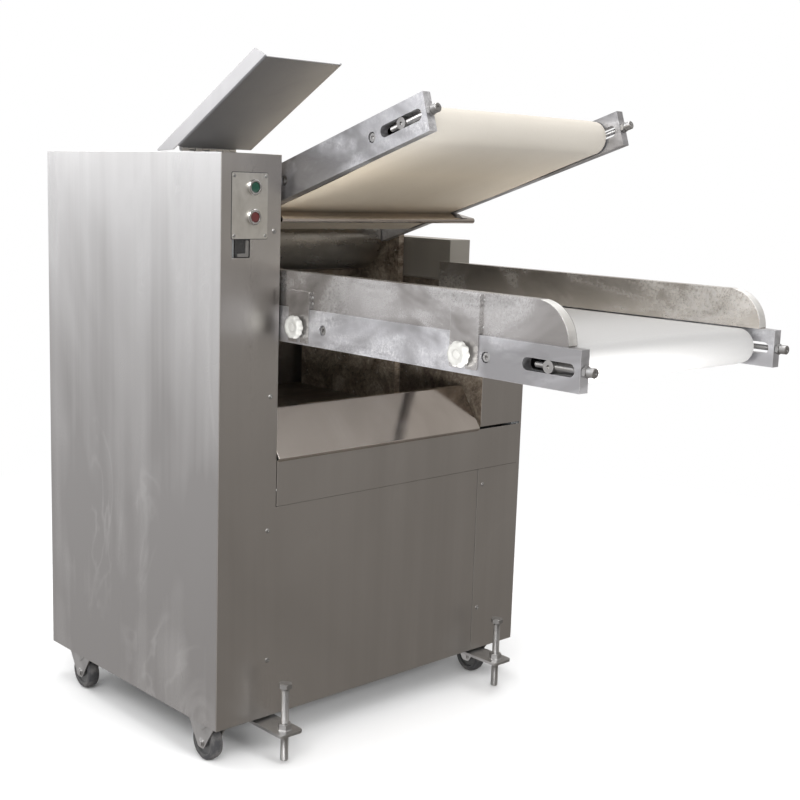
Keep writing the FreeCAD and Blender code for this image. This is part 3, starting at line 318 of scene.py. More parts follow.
# stainless_side takes painted light by height: lighter at the top, darker at the bottom.
brushed("stainless_side", (0.70, 0.695, 0.69), (0.43, 0.42, 0.415), rough=(0.24, 0.36), wave=0.5, wiped=0.25,
        painted_light_by_height=0.55)
brushed("stainless_front", (0.68, 0.655, 0.63), (0.57, 0.545, 0.52), rough=(0.28, 0.38), wave=0.35, wiped=0.1)
brushed("tray_polished", (0.70, 0.645, 0.60), (0.54, 0.49, 0.45), rough=(0.05, 0.13), wave=2.4)
painted("frame_paint", (0.16, 0.165, 0.17))
floury("rail_aluminium", (0.66, 0.66, 0.69), (0.36, 0.355, 0.365), flour=0.9)
floury("guard_stainless", (0.53, 0.515, 0.51), (0.33, 0.315, 0.305), flour=0.35, rough=(0.16, 0.28))
# guard_right is a lighter, warmer copy of guard_stainless for the right guard: painted reflection of the beige
# belt.
floury("guard_right", (0.76, 0.715, 0.66), (0.56, 0.52, 0.465), flour=0.5, rough=(0.16, 0.28))
# The last colour of each belt is its front end: greyer, and darker there as painted shade.
woven("belt_white", (0.41, 0.40, 0.39), (0.37, 0.36, 0.35), (0.36, 0.32, 0.27), (0.40, 0.395, 0.39))
woven("belt_beige", (0.84, 0.74, 0.59), (0.76, 0.655, 0.505), (0.40, 0.33, 0.24), (0.44, 0.43, 0.41))
turned("roller_chrome", (0.72, 0.71, 0.70), rough=0.12)
turned("machined_steel", (0.50, 0.49, 0.48), rough=0.32, grease=0.5)
painted("cast_housing", (0.10, 0.13, 0.12), rough=0.5, pit=0.6)
painted("motor_paint", (0.05, 0.12, 0.22), rough=0.35)
rubber("drive_rubber", (0.025, 0.025, 0.025))
turned("zinc", (0.56, 0.555, 0.55), rough=0.36, grain=(200, 200, 200), grease=0.15)
rubber("wheel_rubber", (0.045, 0.045, 0.048))
brushed("switch_plate", (0.92, 0.90, 0.85), (0.72, 0.70, 0.65), rough=(0.32, 0.5), mottle=40)
plastic("knob_nylon", (0.54, 0.535, 0.51), fleck=0.08)
plastic("start_green", (0.006, 0.05, 0.03), rough=0.25, coat=0.4)
plastic("stop_red", (0.085, 0.016, 0.016), rough=0.25, coat=0.4)
floury("end_band", (0.95, 0.94, 0.92), (0.86, 0.85, 0.83), flour=1.0, rough=(0.4, 0.6))
plastic("hub_grey", (0.10, 0.10, 0.10), rough=0.4)
# One lid sheet in two copies: lid_satin, darker, is painted shade on the faces that look down and to the front;
# lid_side, lighter, is painted light on the flange that faces left.
brushed("lid_satin", (0.43, 0.43, 0.44), (0.40, 0.40, 0.41), rough=(0.85, 0.9), wave=0.05)
brushed("lid_side", (0.54, 0.535, 0.54), (0.47, 0.465, 0.47), rough=(0.3, 0.4), wave=0.2)
turned("press_chrome", (0.56, 0.53, 0.48), rough=0.26, grain=(3, 90, 90))
plastic("handwheel_black", (0.02, 0.02, 0.02), rough=0.25, coat=0.6)
# The bay's copy at 0.45 of the brightness is painted shade inside the bay; the frame plates' copy keeps full
# brightness.
dirty_sheet("bay_dirty", 0.45)
dirty_sheet("plate_dirty", 1.0)
brushed("cover_dusty", (0.39, 0.365, 0.325), (0.32, 0.30, 0.265), rough=(0.45, 0.6), wave=0.2, metallic=0.25)

# CAD nodes whose finish isn't the one of their material slot.
own_finish = {
    "bay_liner": "bay_dirty",
    "frame_plates": "plate_dirty",
    "right_bearing_cover": "cover_dusty",
    "right_side_panel": "stainless_front",
    "rear_press_roller": "press_chrome",
}
slot_of = {part["node"]: part["material_slot"] for part in frame["record"]["subparts"]}


# ---- CAD nodes that stay ----
def even_normals(obj):
    """Large flat faces keep their own direction beside rounded edges."""
    weighted = obj.modifiers.new("weighted", "WEIGHTED_NORMAL")
    weighted.keep_sharp = True
    weighted.weight = 90


def rounded(node, width, material):
    """A carried-over CAD node: its edges rounded by modifiers, and its finish."""
    obj = nodes[node]
    obj.data.materials.clear()
    obj.data.materials.append(material)
    weld = obj.modifiers.new("weld", "WELD")
    weld.merge_threshold = 0.005 * MM
    flat = obj.modifiers.new("flat", "DECIMATE")
    flat.decimate_type = "DISSOLVE"
    flat.angle_limit = radians(0.5)
    bevel = obj.modifiers.new("bevel", "BEVEL")
    bevel.width = width
    bevel.segments = 2
    bevel.limit_method = "ANGLE"
    bevel.angle_limit = radians(32)
    for face in obj.data.polygons:
        face.use_smooth = True
    even_normals(obj)


EDGE = {
    "left_side_panel": 0.9 * MM,
    "front_cover": 0.9 * MM,
    "right_side_panel": 0.9 * MM,
    "back_panel": 0.6 * MM,
    "lower_rails": 0.9 * MM,
    "upper_rails": 0.9 * MM,
}
for node, obj in nodes.items():
    slot = slot_of[node]
    rounded(node, EDGE.get(node, 0.4 * MM), finishes[own_finish.get(node, slot)])


# ---- mesh building ----
def basis(axis):
    """Two directions square to an axis, and the axis itself."""
    w = Vector(axis).normalized()
    u = Vector(Z) if abs(w.z) < 0.9 else Vector(X)
    v = w.cross(u).normalized()
    return v.cross(w), v, w


def hexagonal(flats):
    """The radius of a hexagon at an angle, from its width across flats."""
    return lambda a: flats / 2 / cos(a % (pi / 3) - pi / 6)


def number(value, angle):
    return value(angle) if callable(value) else value


def arc(centre, radius, start, end, steps):
    """Points of an arc in a plane, angles in degrees."""
    turn = [radians(start + (end - start) * k / steps) for k in range(steps + 1)]
    return [(centre[0] + radius * cos(a), centre[1] + radius * sin(a)) for a in turn]


def rectangle(width, height, past=0.0):
    """Corners of a rectangle from the origin. past widens it on all four sides."""
    return [(-past, -past), (width + past, -past), (width + past, height + past), (-past, height + past)]


def softened(points, radius, closed=True, steps=5):
    """A polygon or path with its corners rounded. radius is one number, or one for each corner."""
    out = []
    count = len(points)
    radii = radius if isinstance(radius, (list, tuple)) else [radius] * count
    for k, point in enumerate(points):
        here = Vector(point)
        if radii[k] <= 0 or (not closed and k in (0, count - 1)):
            out.append(tuple(here))
            continue
        back = (Vector(points[k - 1]) - here).normalized()
        ahead = (Vector(points[(k + 1) % count]) - here).normalized()
        half = back.angle(ahead) / 2
        inset = radii[k] / tan(half)
        middle = here + (back + ahead).normalized() * radii[k] / sin(half)
        first = here + back * inset - middle
        last = here + ahead * inset - middle
        sweep = first.angle_signed(last)
        for step in range(steps + 1):
            turned = first.copy()
            turned.rotate(Matrix.Rotation(-sweep * step / steps, 2))
            out.append(tuple(middle + turned))
    return out


def widened(path, thickness):
    """The outline of folded sheet whose middle line is an open path."""
    left, right = [], []
    for k, point in enumerate(path):
        before = Vector(path[max(k - 1, 0)])
        after = Vector(path[min(k + 1, len(path) - 1)])
        way = (after - before).normalized()
        normal = Vector((-way.y, way.x)) * thickness / 2
        left.append(tuple(Vector(point) + normal))
        right.append(tuple(Vector(point) - normal))
    return left + right[::-1]


class Shape:
    """Closed forms gathered into one piece. paint is the material number of what is added next."""

    def __init__(self):
        self.points, self.faces, self.paints = [], [], []
        self.paint = 0

    def add(self, points, faces):
        start = len(self.points)
        self.points += [tuple(p) for p in points]
        self.faces += [tuple(start + k for k in face) for face in faces]
        self.paints += [self.paint] * len(faces)

    def skin(self, rows, loop=False):
        """Quads between rows of points, each row closed. The ends are capped, or joined by loop."""
        wide, count = len(rows[0]), len(rows)
        faces = []
        for i in range(count if loop else count - 1):
            j = (i + 1) % count
            for k in range(wide):
                m = (k + 1) % wide
                faces.append((i * wide + k, i * wide + m, j * wide + m, j * wide + k))
        if not loop:
            faces.append(tuple(range(wide)))
            faces.append(tuple((count - 1) * wide + k for k in range(wide)))
        self.add([p for row in rows for p in row], faces)

    def turned(self, rings, base, axis, count=48, loop=False):
        """Rings of (height, radius) about an axis. Both may be functions of the angle."""
        u, v, w = basis(axis)
        rows = []
        for height, radius in rings:
            row = []
            for k in range(count):
                a = 2 * pi * k / count
                r = number(radius, a)
                row.append(Vector(base) + w * number(height, a) + (u * cos(a) + v * sin(a)) * r)
            rows.append(row)
        self.skin(rows, loop)

    def prism(self, outline, base, across, up, depth, holes=()):
        """A flat outline, with holes, pushed square to its own plane."""
        loops = [list(outline)] + [list(h) for h in holes]
        flat = [[Vector((a, b, 0)) for a, b in loop] for loop in loops]
        triangles = tessellate_polygon(flat)
        across, up = Vector(across), Vector(up)
        push = across.cross(up).normalized() * depth
        corners = [Vector(base) + across * a + up * b for loop in loops for a, b in loop]
        count = len(corners)
        faces = [tuple(t) for t in triangles] + [tuple(count + k for k in t) for t in triangles]
        start = 0
        for loop in loops:
            for k in range(len(loop)):
                m = (k + 1) % len(loop)
                faces.append((start + k, start + m, count + start + m, count + start + k))
            start += len(loop)
        self.add(corners + [c + push for c in corners], faces)

    def block(self, low, high, corner=0.0, along="Z"):
        """A block whose four edges along one axis are rounded."""
        low, high = Vector(low), Vector(high)
        sides = {"X": (Y, Z), "Y": (Z, X), "Z": (X, Y)}
        across, up = (Vector(s) for s in sides[along])
        size = high - low
        a, b = size.dot(across), size.dot(up)
        outline = rectangle(a, b)
        if corner:
            outline = softened(outline, corner, steps=4)
        self.prism(outline, low, across, up, size.dot(across.cross(up)))

    def hexagon(self, base, axis, flats, height):
        """A nut or bolt head with both faces chamfered."""
        face, corner = 0.49 * flats, hexagonal(flats)

        def dip(a):
            return (corner(a) - face) * 0.577

        self.turned([(0, face), (dip, corner), (lambda a: height - dip(a), corner), (height, face)],
                    base, axis, 48)

    def thread(self, base, axis, length, radius, pitch, count=16):
        """A screw thread with a chamfered start at both ends."""
        depth = 0.5 * pitch
        steps = int(round(length / pitch * 5))
        rings = []
        for k in range(steps + 1):
            s = length * k / steps
            full = radius - max(0.0, depth - min(s, length - s))

            def level(a, s=s, full=full):
                phase = 2 * pi * s / pitch - a
                return min(full, radius - depth * (0.5 - 0.5 * cos(phase)))

            rings.append((s, level))
        self.turned(rings, base, axis, count)

    def pan_screw(self, base, axis, radius, height):
        """A domed head with a cross recess."""
        def level(share):
            dome = height * sqrt(max(0.0, 1 - share ** 2 * 0.92))

            def at(a):
                x, y = abs(share * cos(a)), abs(share * sin(a))
                cross = share < 0.62 and min(x, y) < 0.13
                return dome - (0.45 * height if cross else 0.0)
            return at

        rings = [(0, radius), (0.25 * height, radius)]
        rings += [(level(f), f * radius) for f in (0.93, 0.8, 0.64, 0.6, 0.45, 0.3, 0.16, 0.06)]
        self.turned(rings, base, axis, 40)

    def socket_screw(self, base, axis, radius, height, key):
        """A cylinder head with a hexagon socket."""
        socket = hexagonal(key)
        rings = [(0, radius), (height - 0.6 * MM, radius), (height, radius - 0.6 * MM),
                 (height, socket), (height - 4 * MM, socket)]
        self.turned(rings, base, axis, 48)

    def turn(self, first, pivot, axis, angle):
        """Turns what was added since the point number first."""
        spin = Matrix.Rotation(angle, 3, Vector(axis))
        pivot = Vector(pivot)
        for k in range(first, len(self.points)):
            self.points[k] = tuple(spin @ (Vector(self.points[k]) - pivot) + pivot)


body_of = {node: body for body, members in frame["record"]["behaviour"]["bodies"].items() for node in members}
joints = {joint["name"]: joint for joint in frame["joints"]}


def piece(name, shape, node, looks, edge=0.0, crease=40, between=None):
    """Makes the piece, rides it on the body of the CAD node that it replaces, and hides that node.

    between holds the two bodies and the two points of a belt; only whether it is given is read. When it is, the
    piece is baked where it stands and rides on no body.
    """
    mesh = bpy.data.meshes.new(name)
    mesh.from_pydata(shape.points, [], shape.faces)
    mesh.polygons.foreach_set("material_index", shape.paints)
    work = bmesh.new()
    work.from_mesh(mesh)
    bmesh.ops.recalc_face_normals(work, faces=work.faces)
    if edge:
        flat = [e for e in work.edges if e.calc_face_angle(1.0) < 0.002]
        bmesh.ops.dissolve_edges(work, edges=flat, use_verts=False)
    work.to_mesh(mesh)
    work.free()
    for face in mesh.polygons:
        face.use_smooth = True
    mesh.set_sharp_from_angle(angle=radians(crease))
    for look in looks:
        mesh.materials.append(finishes[look])
    obj = bpy.data.objects.new(name, mesh)
    bpy.context.scene.collection.objects.link(obj)
    if edge:
        bevel = obj.modifiers.new("bevel", "BEVEL")
        bevel.width = edge
        bevel.segments = 2
        bevel.limit_method = "ANGLE"
        bevel.angle_limit = radians(crease)
    even_normals(obj)
    if between:
        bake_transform(obj)
    else:
        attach(obj, body_of[node])
    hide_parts(node)


def middle(node):
    low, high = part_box(node)
    return (low + high) / 2


# ---- knobs, buttons and switch plate ----
def star_knob(node, side):
    """Nylon star knob: ten shallow scallops, a dished face and a moulded plug over the stud."""
    low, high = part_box(node)
    centre = middle(node)
    outer = low.x if side < 0 else high.x
    inner = high.x if side < 0 else low.x
    radius = (high.z - low.z) / 2
    face = outer - side * 18 * MM

    def lobes(size, depth):
        return lambda a: size * radius - depth * MM * (0.5 + 0.5 * cos(10 * a)) ** 1.5

    grip = ((4.3, 0.84, 1.6), (5.2, 0.94, 2.2), (7.5, 1.0, 2.6), (13, 1.0, 2.6), (15.6, 0.97, 2.3),
            (17.2, 0.9, 1.6), (18, 0.78, 0.8), (17.6, 0.62, 0.2))
    plug = ((16.2, 0.42), (16, 0.34), (17.2, 0.32), (17.5, 0.27), (17.6, 0.1))
    rings = mm((0, 10.5), (3.2, 10.5), (4, 12))
    rings += [(height * MM, lobes(size, depth)) for height, size, depth in grip]
    rings += [(height * MM, size * radius) for height, size in plug]
    shape = Shape()
    shape.turned(rings, (face, centre.y, centre.z), (side, 0, 0), 80)
    shape.paint = 1
    start = (inner, centre.y, centre.z)
    shape.thread(start, (side, 0, 0), abs(face - inner) + 0.5 * MM, 4.9 * MM, 1.5 * MM, 14)
    piece(node + "_star", shape, node, ["knob_nylon", "zinc"], crease=50)


def push_button(node, look):
    """Domed cap with a soft rim and a shallow finger dish."""
    low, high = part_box(node)
    centre = middle(node)
    radius = (high.x - low.x) / 2 - CAP_GAP
    depth, rim = high.y - low.y - 3.6 * MM, 1.7 * MM
    rings = [(0, radius), (depth - rim, radius)]
    rings += [(depth - rim + rim * sin(t), radius - rim * (1 - cos(t)))
              for t in (0.35, 0.7, 1.05, 1.4)]
    rings += [(depth - 0.02 * MM, 0.8 * radius), (depth - 0.5 * MM, 0.7 * radius),
              (depth - 0.8 * MM, 0.45 * radius), (depth - 0.9 * MM, 0.1 * radius)]
    shape = Shape()
    shape.turned(rings, (centre.x, high.y, centre.z), FORWARD, 64)
    piece(node + "_cap", shape, node, [look], crease=50)


def switch_station():
    """Switch plate with its screws and bezels, the contact blocks behind, and the open pocket."""
    low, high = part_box("control_plate")
    start, stop = middle("start_button"), middle("stop_button")
    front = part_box("front_cover")[0].y
    cap_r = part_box("start_button")[1].x - start.x - CAP_GAP
    plate_low, plate_high = 1027 * MM, high.z
    pocket_x, pocket_z, pocket_wide, pocket_tall = mm(-392, 984, 40, 48)
    shape = Shape()
    width, height = high.x - low.x, plate_high - plate_low
    outline = softened(rectangle(width, height), 3 * MM)
    holes = []
    for button in (start, stop):
        centre = (button.x - low.x, button.z - plate_low)
        holes.append(arc(centre, cap_r + 0.3 * MM, 0, 350, 35))
    shape.prism(outline, (low.x, front - 0.3 * MM, plate_low), X, Z, 1.2 * MM, holes)
    shape.paint = 3
    outline = softened(rectangle(width, height, past=1.1 * MM), 3 * MM)
    shape.prism(outline, (low.x, front, plate_low), X, Z, 0.3 * MM, holes)
    shape.paint = 1
    for button in (start, stop):
        outer, inner = 15 * MM, cap_r + 0.15 * MM
        rings = [(1.6 * MM, inner), (1.6 * MM, outer - 0.4 * MM), (2.0 * MM, outer), (4.8 * MM, outer)]
        rings += [(4.8 * MM + 3.2 * MM * sin(t), outer - 3 * MM * (1 - cos(t)))
                  for t in (0.4, 0.8, 1.2, 1.5)]
        rings += [(7.6 * MM, inner + 0.3 * MM), (7.0 * MM, inner)]
        shape.turned(rings, (button.x, front, button.z), FORWARD, 64, loop=True)
    shape.paint = 2
    for x in (low.x + 5 * MM, high.x - 5 * MM):
        for z in (plate_low + 6 * MM, plate_high - 6 * MM):
            shape.pan_screw((x, front - 1.5 * MM, z), FORWARD, 3.2 * MM, 1.6 * MM)
    shape.paint = 3
    for button in (start, stop):
        shape.block((button.x - 15 * MM, front + 8 * MM, button.z - 20 * MM),
                    (button.x + 15 * MM, front + 50 * MM, button.z + 20 * MM), 2 * MM, "Y")
    shape.block((pocket_x, front + 3 * MM, pocket_z),
                (pocket_x + pocket_wide, front + 5 * MM, pocket_z + pocket_tall))
    shape.paint = 2
    outline = softened(mm((0, 0), (25, 0), (25, 30), (18, 30), (18, 6), (0, 6)), 1.5 * MM, steps=3)
    shape.prism(outline, (pocket_x + 4 * MM, front + 3 * MM, pocket_z + 10 * MM), X, Z, 3.5 * MM)
    looks = ["switch_plate", "roller_chrome", "zinc", "handwheel_black"]
    piece("switch_station", shape, "control_plate", looks, edge=0.25 * MM, crease=35)


# ---- bolts, nuts and feet ----
def tension_bolt(node, shaft, joint):
    """Stud through the tail shaft, with its nut and a turned round head."""
    axis = Vector(joints[joint]["axis"])
    tail = middle(shaft)
    tail.x = joints[joint]["pos_m"][0]
    reach = 64 * MM
    shape = Shape()
    shape.thread(tail - axis * 31 * MM, axis, reach + 39 * MM, 5 * MM, 1.5 * MM)
    shape.hexagon(tail + axis * (reach + 0.5 * MM), axis, 17 * MM, 7 * MM)
    start = tail + axis * (reach + 7.5 * MM)
    rings = mm((0, 7.2), (0.8, 8), (12.4, 8), (13.4, 7), (13.4, 3.2), (11, 2.6))
    shape.turned(rings, start, axis, 40)
    piece(node + "_stud", shape, node, ["zinc"])


def jack_bolt(node):
    """Long screw with a hexagon head."""
    low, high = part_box(node)
    centre = middle(node)
    shape = Shape()
    head = 10 * MM
    shape.thread((centre.x, centre.y, low.z), Z, high.z - low.z - head, 8 * MM, 2 * MM, 20)
    shape.hexagon((centre.x, centre.y, high.z - head), Z, 24 * MM, head)
    piece(node + "_screw", shape, node, ["zinc"])


def jack_brackets():
    """Plate with rounded outer corners, a web up to the frame, a welded nut and its bead."""
    low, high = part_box("jack_brackets")
    shape = Shape()
    for side in ("left", "right"):
        foot = middle(side + "_jack_bolt")
        half = 27.5 * MM
        depth = high.y - low.y
        outline = softened([(-half, 0), (half, 0), (half, depth), (-half, depth)], mm(9, 9, 0, 0))
        hole = arc((0, foot.y - low.y), 8.1 * MM, 0, 345, 23)
        shape.prism(outline, (foot.x, low.y, low.z), X, Y, 6 * MM, [hole])
        shape.block((foot.x - half, high.y - 6 * MM, low.z + 6 * MM), (foot.x + half, high.y, high.z))
        base = (foot.x, foot.y, low.z + 6 * MM)
        nut = hexagonal(24 * MM)
        rings = mm((0, 8.1), (0, nut), (12, nut), (13, 11.64), (13, 8.1))
        shape.turned(rings, base, Z, 48, loop=True)
        weld = 2.2 * MM
        bead = [(weld * sin(t),
                 lambda a, t=t: nut(a) + weld * cos(t) + 0.35 * MM * sin(31 * a))
                for t in (0.0, 0.5, 1.0, 1.5)]
        shape.turned([(0, 10 * MM)] + bead + [(weld, 10 * MM)], base, Z, 96, loop=True)
    piece("jack_bracket_plates", shape, "jack_brackets", ["zinc"], edge=0.6 * MM, crease=50)


def cover_screws():
    """Screws of the covers, rivets, socket screws of the rails, and a dark strip behind the front seam: painted
    shade, so the seam looks dark inside.
    """
    shape = Shape()
    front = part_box("front_cover")[0].y
    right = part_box("right_side_panel")[1].x
    for x, z in ((-306, 727), (-308, 463), (-304, 198), (-304, 1041), (302, 471), (302, 180)):
        shape.pan_screw((x * MM, front, z * MM), FORWARD, 5 * MM, 2.2 * MM)
    for x, z in ((410, 599), (400, 561), (395, 523)):
        shape.pan_screw((x * MM, front, z * MM), FORWARD, 3 * MM, 1.4 * MM)
    cabinet = middle("left_side_panel").y
    for y in (-290, 0, 290):
        for z in (120, 520, 890):
            shape.pan_screw((right, cabinet + y * MM, z * MM), X, 5 * MM, 2.2 * MM)
    for tail, out, spots, tilt in (
            (middle("lower_tail_shaft"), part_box("lower_rails")[1].x, (130, 538), 0.0),
            (middle("upper_tail_shaft"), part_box("upper_rails")[1].x, (75, 330), FEED_SLOPE)):
        for along in spots:
            for side in (-1, 1):
                first = len(shape.points)
                base = (side * (out - 9 * MM), tail.y + along * MM, tail.z - (1 * MM if not tilt else 0))
                shape.socket_screw(base, (side, 0, 0), 8 * MM, 7 * MM, 7 * MM)
                shape.turn(first, tail, X, -tilt)
    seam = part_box("front_cover")[1].x
    # A dark painted strip behind the seam blocks the view through it and stands in for the shade inside the
    # cabinet.
    shape.paint = 1
    shape.block((seam - 14 * MM, front + 2.3 * MM, 145 * MM),
                (seam + 18 * MM, front + 3.5 * MM, 508 * MM))
    piece("cover_and_rail_screws", shape, "fixing_screws", ["zinc", "frame_paint"], crease=30)


def front_roller():
    """Front press roller. Its journals stand a hair clear of the bearing rings all round."""
    low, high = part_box("front_press_roller")
    radius, journal, half, corner = 75 * MM, 24.8 * MM, 252 * MM, 1.5 * MM
    rings = [(low.x, journal - corner), (low.x + corner, journal), (-half, journal),
             (-half, radius - corner), (-half + corner, radius), (half - corner, radius),
             (half, radius - corner), (half, journal), (high.x - corner, journal),
             (high.x, journal - corner)]
    shape = Shape()
    centre = middle("front_press_roller")
    shape.turned(rings, (0, centre.y, centre.z), X, 96)
    piece("front_roller_turned", shape, "front_press_roller", ["press_chrome"], crease=30)


# ---- casters ----
def casters():
    """Pressed forks with triangular legs, axle bolts and nuts."""
    shape = Shape()
    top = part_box("caster_forks")[1].z
    for wheel in ("front_left_wheel", "front_right_wheel", "rear_left_wheel", "rear_right_wheel"):
        hub = middle(wheel)
        outline = softened(mm((-17, -54), (17, -54), (17, 54), (-17, 54)), 4 * MM)
        shape.prism(outline, (hub.x, hub.y, top - 4 * MM), X, Y, 4 * MM)
        for side in (-1, 1):
            leg = [(-54 * MM, top - 2 * MM), (54 * MM, top - 2 * MM)] + mm((9, 27), (-9, 27))
            leg = softened(leg, mm(0, 0, 9, 9), steps=8)
            x = hub.x + side * (14 * MM if side > 0 else 17 * MM)
            shape.prism(leg, (x, hub.y, 0), Y, Z, 3 * MM)
            rib = [(-30 * MM, top - 14 * MM), (30 * MM, top - 14 * MM), (0, top - 38 * MM)]
            x = hub.x + side * 17 * MM
            ridge = softened(rib, 6 * MM, steps=6)
            shape.prism(ridge, (x if side > 0 else x - 1.2 * MM, hub.y, 0), Y, Z, 1.2 * MM)
            base = (x, hub.y, hub.z)
            shape.turned(mm((0, 9.5), (1.2, 9.5), (1.6, 9)), base, (side, 0, 0), 32)
            shape.hexagon((x + side * 0.2 * MM, hub.y, hub.z), (side, 0, 0), 13 * MM, 4 * MM)
        shape.turned(mm((0, 5), (34, 5)), (hub.x - 17 * MM, hub.y, hub.z), X, 24)
    piece("caster_brackets", shape, "caster_forks", ["zinc"], edge=0.5 * MM)


def caster_wheel(node):
    """Rubber tyre with a crowned tread on a moulded hub with a bearing sleeve."""
    low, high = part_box(node)
    hub = middle(node)
    radius, half = (high.z - low.z) / 2, (high.x - low.x) / 2
    shape = Shape()
    tread = [(half * sin(t), radius - 5 * MM + 5 * MM * cos(t))
             for t in (-1.5, -1.1, -0.7, -0.3, 0.0, 0.3, 0.7, 1.1, 1.5)]
    rings = [(-half, 27 * MM), (-half, 31 * MM)] + tread + [(half, 31 * MM), (half, 27 * MM)]
    shape.turned(rings, hub, X, 72, loop=True)
    shape.paint = 1
    web = mm((1, 5.3), (1, 10), (5, 11), (5, 24), (0.5, 25.5), (0.5, 27.4))
    web = [(inset - half, r) for inset, r in web] + [(half - inset, r) for inset, r in web[::-1]]
    shape.turned(web, hub, X, 72, loop=True)
    piece(node + "_tyre", shape, node, ["wheel_rubber", "hub_grey"])


# ---- lid and hinge ----
def gear_box_lid():
    """Folded lid: plate with rounded bends, two flanges and a hem, and its hinge knuckles."""
    joint = joints["lid_hinge_turn"]
    open_by = -radians(joint["range_deg"][0])
    pivot = Vector(joint["pos_m"])
    low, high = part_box("gear_lid")
    sheet, flange, length, bend = 2 * MM, 29 * MM, 309 * MM, 2.5 * MM
    top, back = pivot.z - sheet / 2, pivot.y + length
    foot = pivot.z - sheet - flange
    left, right = low.x + sheet / 2, high.x - sheet / 2
    shape = Shape()
    shape.paint = 1
    brim = top - bend - 1 * MM
    path = softened([(left, brim), (left, top), (right, top), (right, brim)], bend, closed=False, steps=4)
    shape.prism(widened(path, sheet), (0, back, 0), X, Z, length - 5.4 * MM)
    shape.paint = 0
    under = top - bend - 0.5 * MM
    corners = mm(0, 0, 6, 2)
    outer = [(pivot.y - 12 * MM, under), (back, under), (back - 20 * MM, foot), (pivot.y - 66 * MM, foot)]
    shape.prism(softened(outer, corners), (low.x, 0, 0), Y, Z, sheet)
    shape.paint = 1
    near = pivot.y + 8 * MM
    inner = [(near, under), (back - 42 * MM, under), (back - 62 * MM, foot), (near, foot)]
    shape.prism(softened(inner, corners), (high.x - sheet, 0, 0), Y, Z, sheet)
    shape.block((high.x - 8 * MM, near, foot), (high.x, back - 64 * MM, foot + sheet))
    shape.paint = 2
    knuckles(shape, 1)
    shape.turn(0, pivot, X, open_by)
    # The outer flange takes lid_side, the lit copy; the plate and inner flange take lid_satin, the shaded copy:
    # painted light and painted shade on one sheet.
    looks = ["lid_side", "lid_satin", "zinc"]
    piece("gear_box_lid", shape, "gear_lid", looks, edge=0.35 * MM, crease=30)


def knuckles(shape, which):
    """Alternate rolled knuckles of the piano hinge: 0 on the cabinet's leaf, 1 on the lid's."""
    pivot = Vector(joints["lid_hinge_turn"]["pos_m"])
    low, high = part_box("lid_hinge")
    count = 8
    step = (high.x - low.x) / count
    for k in range(which, count, 2):
        x = low.x + k * step + 0.4 * MM
        long = step - 0.8 * MM
        rings = [(0, 4.4 * MM), (0.5 * MM, 4.9 * MM), (long - 0.5 * MM, 4.9 * MM), (long, 4.4 * MM)]
        shape.turned(rings, (x, pivot.y, pivot.z), X, 28)
        if which:
            shape.block((x, pivot.y + 1 * MM, pivot.z - 2 * MM),
                        (x + long, pivot.y + 6.5 * MM, pivot.z - 0.2 * MM))
        else:
            shape.block((x, pivot.y - 4.8 * MM, low.z), (x + long, pivot.y - 2.2 * MM, pivot.z))


def hinge_leaf():
    """The cabinet's half of the piano hinge, with its pin and screws."""
    low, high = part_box("lid_hinge")
    pivot = Vector(joints["lid_hinge_turn"]["pos_m"])
    shape = Shape()
    knuckles(shape, 0)
    wide = high.x - low.x
    pin = [(0, 2.2 * MM), (wide + 1 * MM, 2.2 * MM)]
    shape.turned(pin, (low.x - 0.5 * MM, pivot.y, pivot.z), X, 20)
    leaf = rectangle(wide, pivot.y - 2.6 * MM - low.y)
    shape.prism(leaf, low, X, Y, 1.5 * MM)
    for k in range(5):
        x = low.x + (k + 0.5) * wide / 5
        shape.pan_screw((x, low.y + 12 * MM, low.z + 1.5 * MM), Z, 3.5 * MM, 1.6 * MM)
    piece("piano_hinge", shape, "lid_hinge", ["zinc"], edge=0.2 * MM)


# ---- belts ----
def conveyor_belt(node, tail, drive, look, sag):
    """Endless belt: a slack return run, softly waved edges and a raised diagonal joint."""
    low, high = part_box(node)
    half = (high.x - low.x) / 2
    inner, thick = 30.05 * MM, 2.5 * MM
    first, second = middle(tail), middle(drive)
    near, far = first.yz, second.yz
    way = far - near
    length = way.length
    way.normalize()
    up = Vector((-way.y, way.x))
    if up.y < 0:
        up = -up
    runs, bend = 90, 26
    joint_at, joint_slant, joint_half = 0.55, 0.12, 9 * MM
    hem = 0.996  # the share of the half width past which the edges round off
    track = []
    for k in range(runs):
        track.append((near + way * length * k / runs, up, 0.0, length * k / runs))
    for k in range(bend):
        a = pi * k / bend
        track.append((far, up * cos(a) + way * sin(a), 0.0, length + inner * a))
    for k in range(runs):
        share = k / runs
        slack = sag * sin(pi * share) ** 2
        track.append((far - way * length * share, -up, slack, length * (1 + share)))
    for k in range(bend):
        a = pi * k / bend
        track.append((near, -up * cos(a) - way * sin(a), 0.0, inner * (a - pi)))
    across = [-1 + 2 * k / 24 for k in range(25)]
    rows = []
    for centre, normal, slack, along in track:
        row = []
        for side, level in ((1, inner + thick), (-1, inner)):
            for share in (across if side > 0 else across[::-1]):
                edge = max(0.0, abs(share) - hem) / (1 - hem)
                wave = 0.25 * MM * sin(9 * along + 2.1 * share) * abs(share) ** 3
                joint = along - joint_at - joint_slant * share
                ridge = 0.35 * MM * exp(-(joint / joint_half) ** 4) if side > 0 else 0.0
                out = level + slack + wave + ridge - side * edge * 0.9 * MM
                point = centre + normal * out
                row.append((share * (half - 0.2 * MM), point.x, point.y))
        rows.append(row)
    shape = Shape()
    shape.skin(rows, loop=True)
    ends = (body_of[tail.replace("roller", "shaft")], body_of[node], first, second)
    piece(node + "_cloth", shape, node, [look], between=ends)


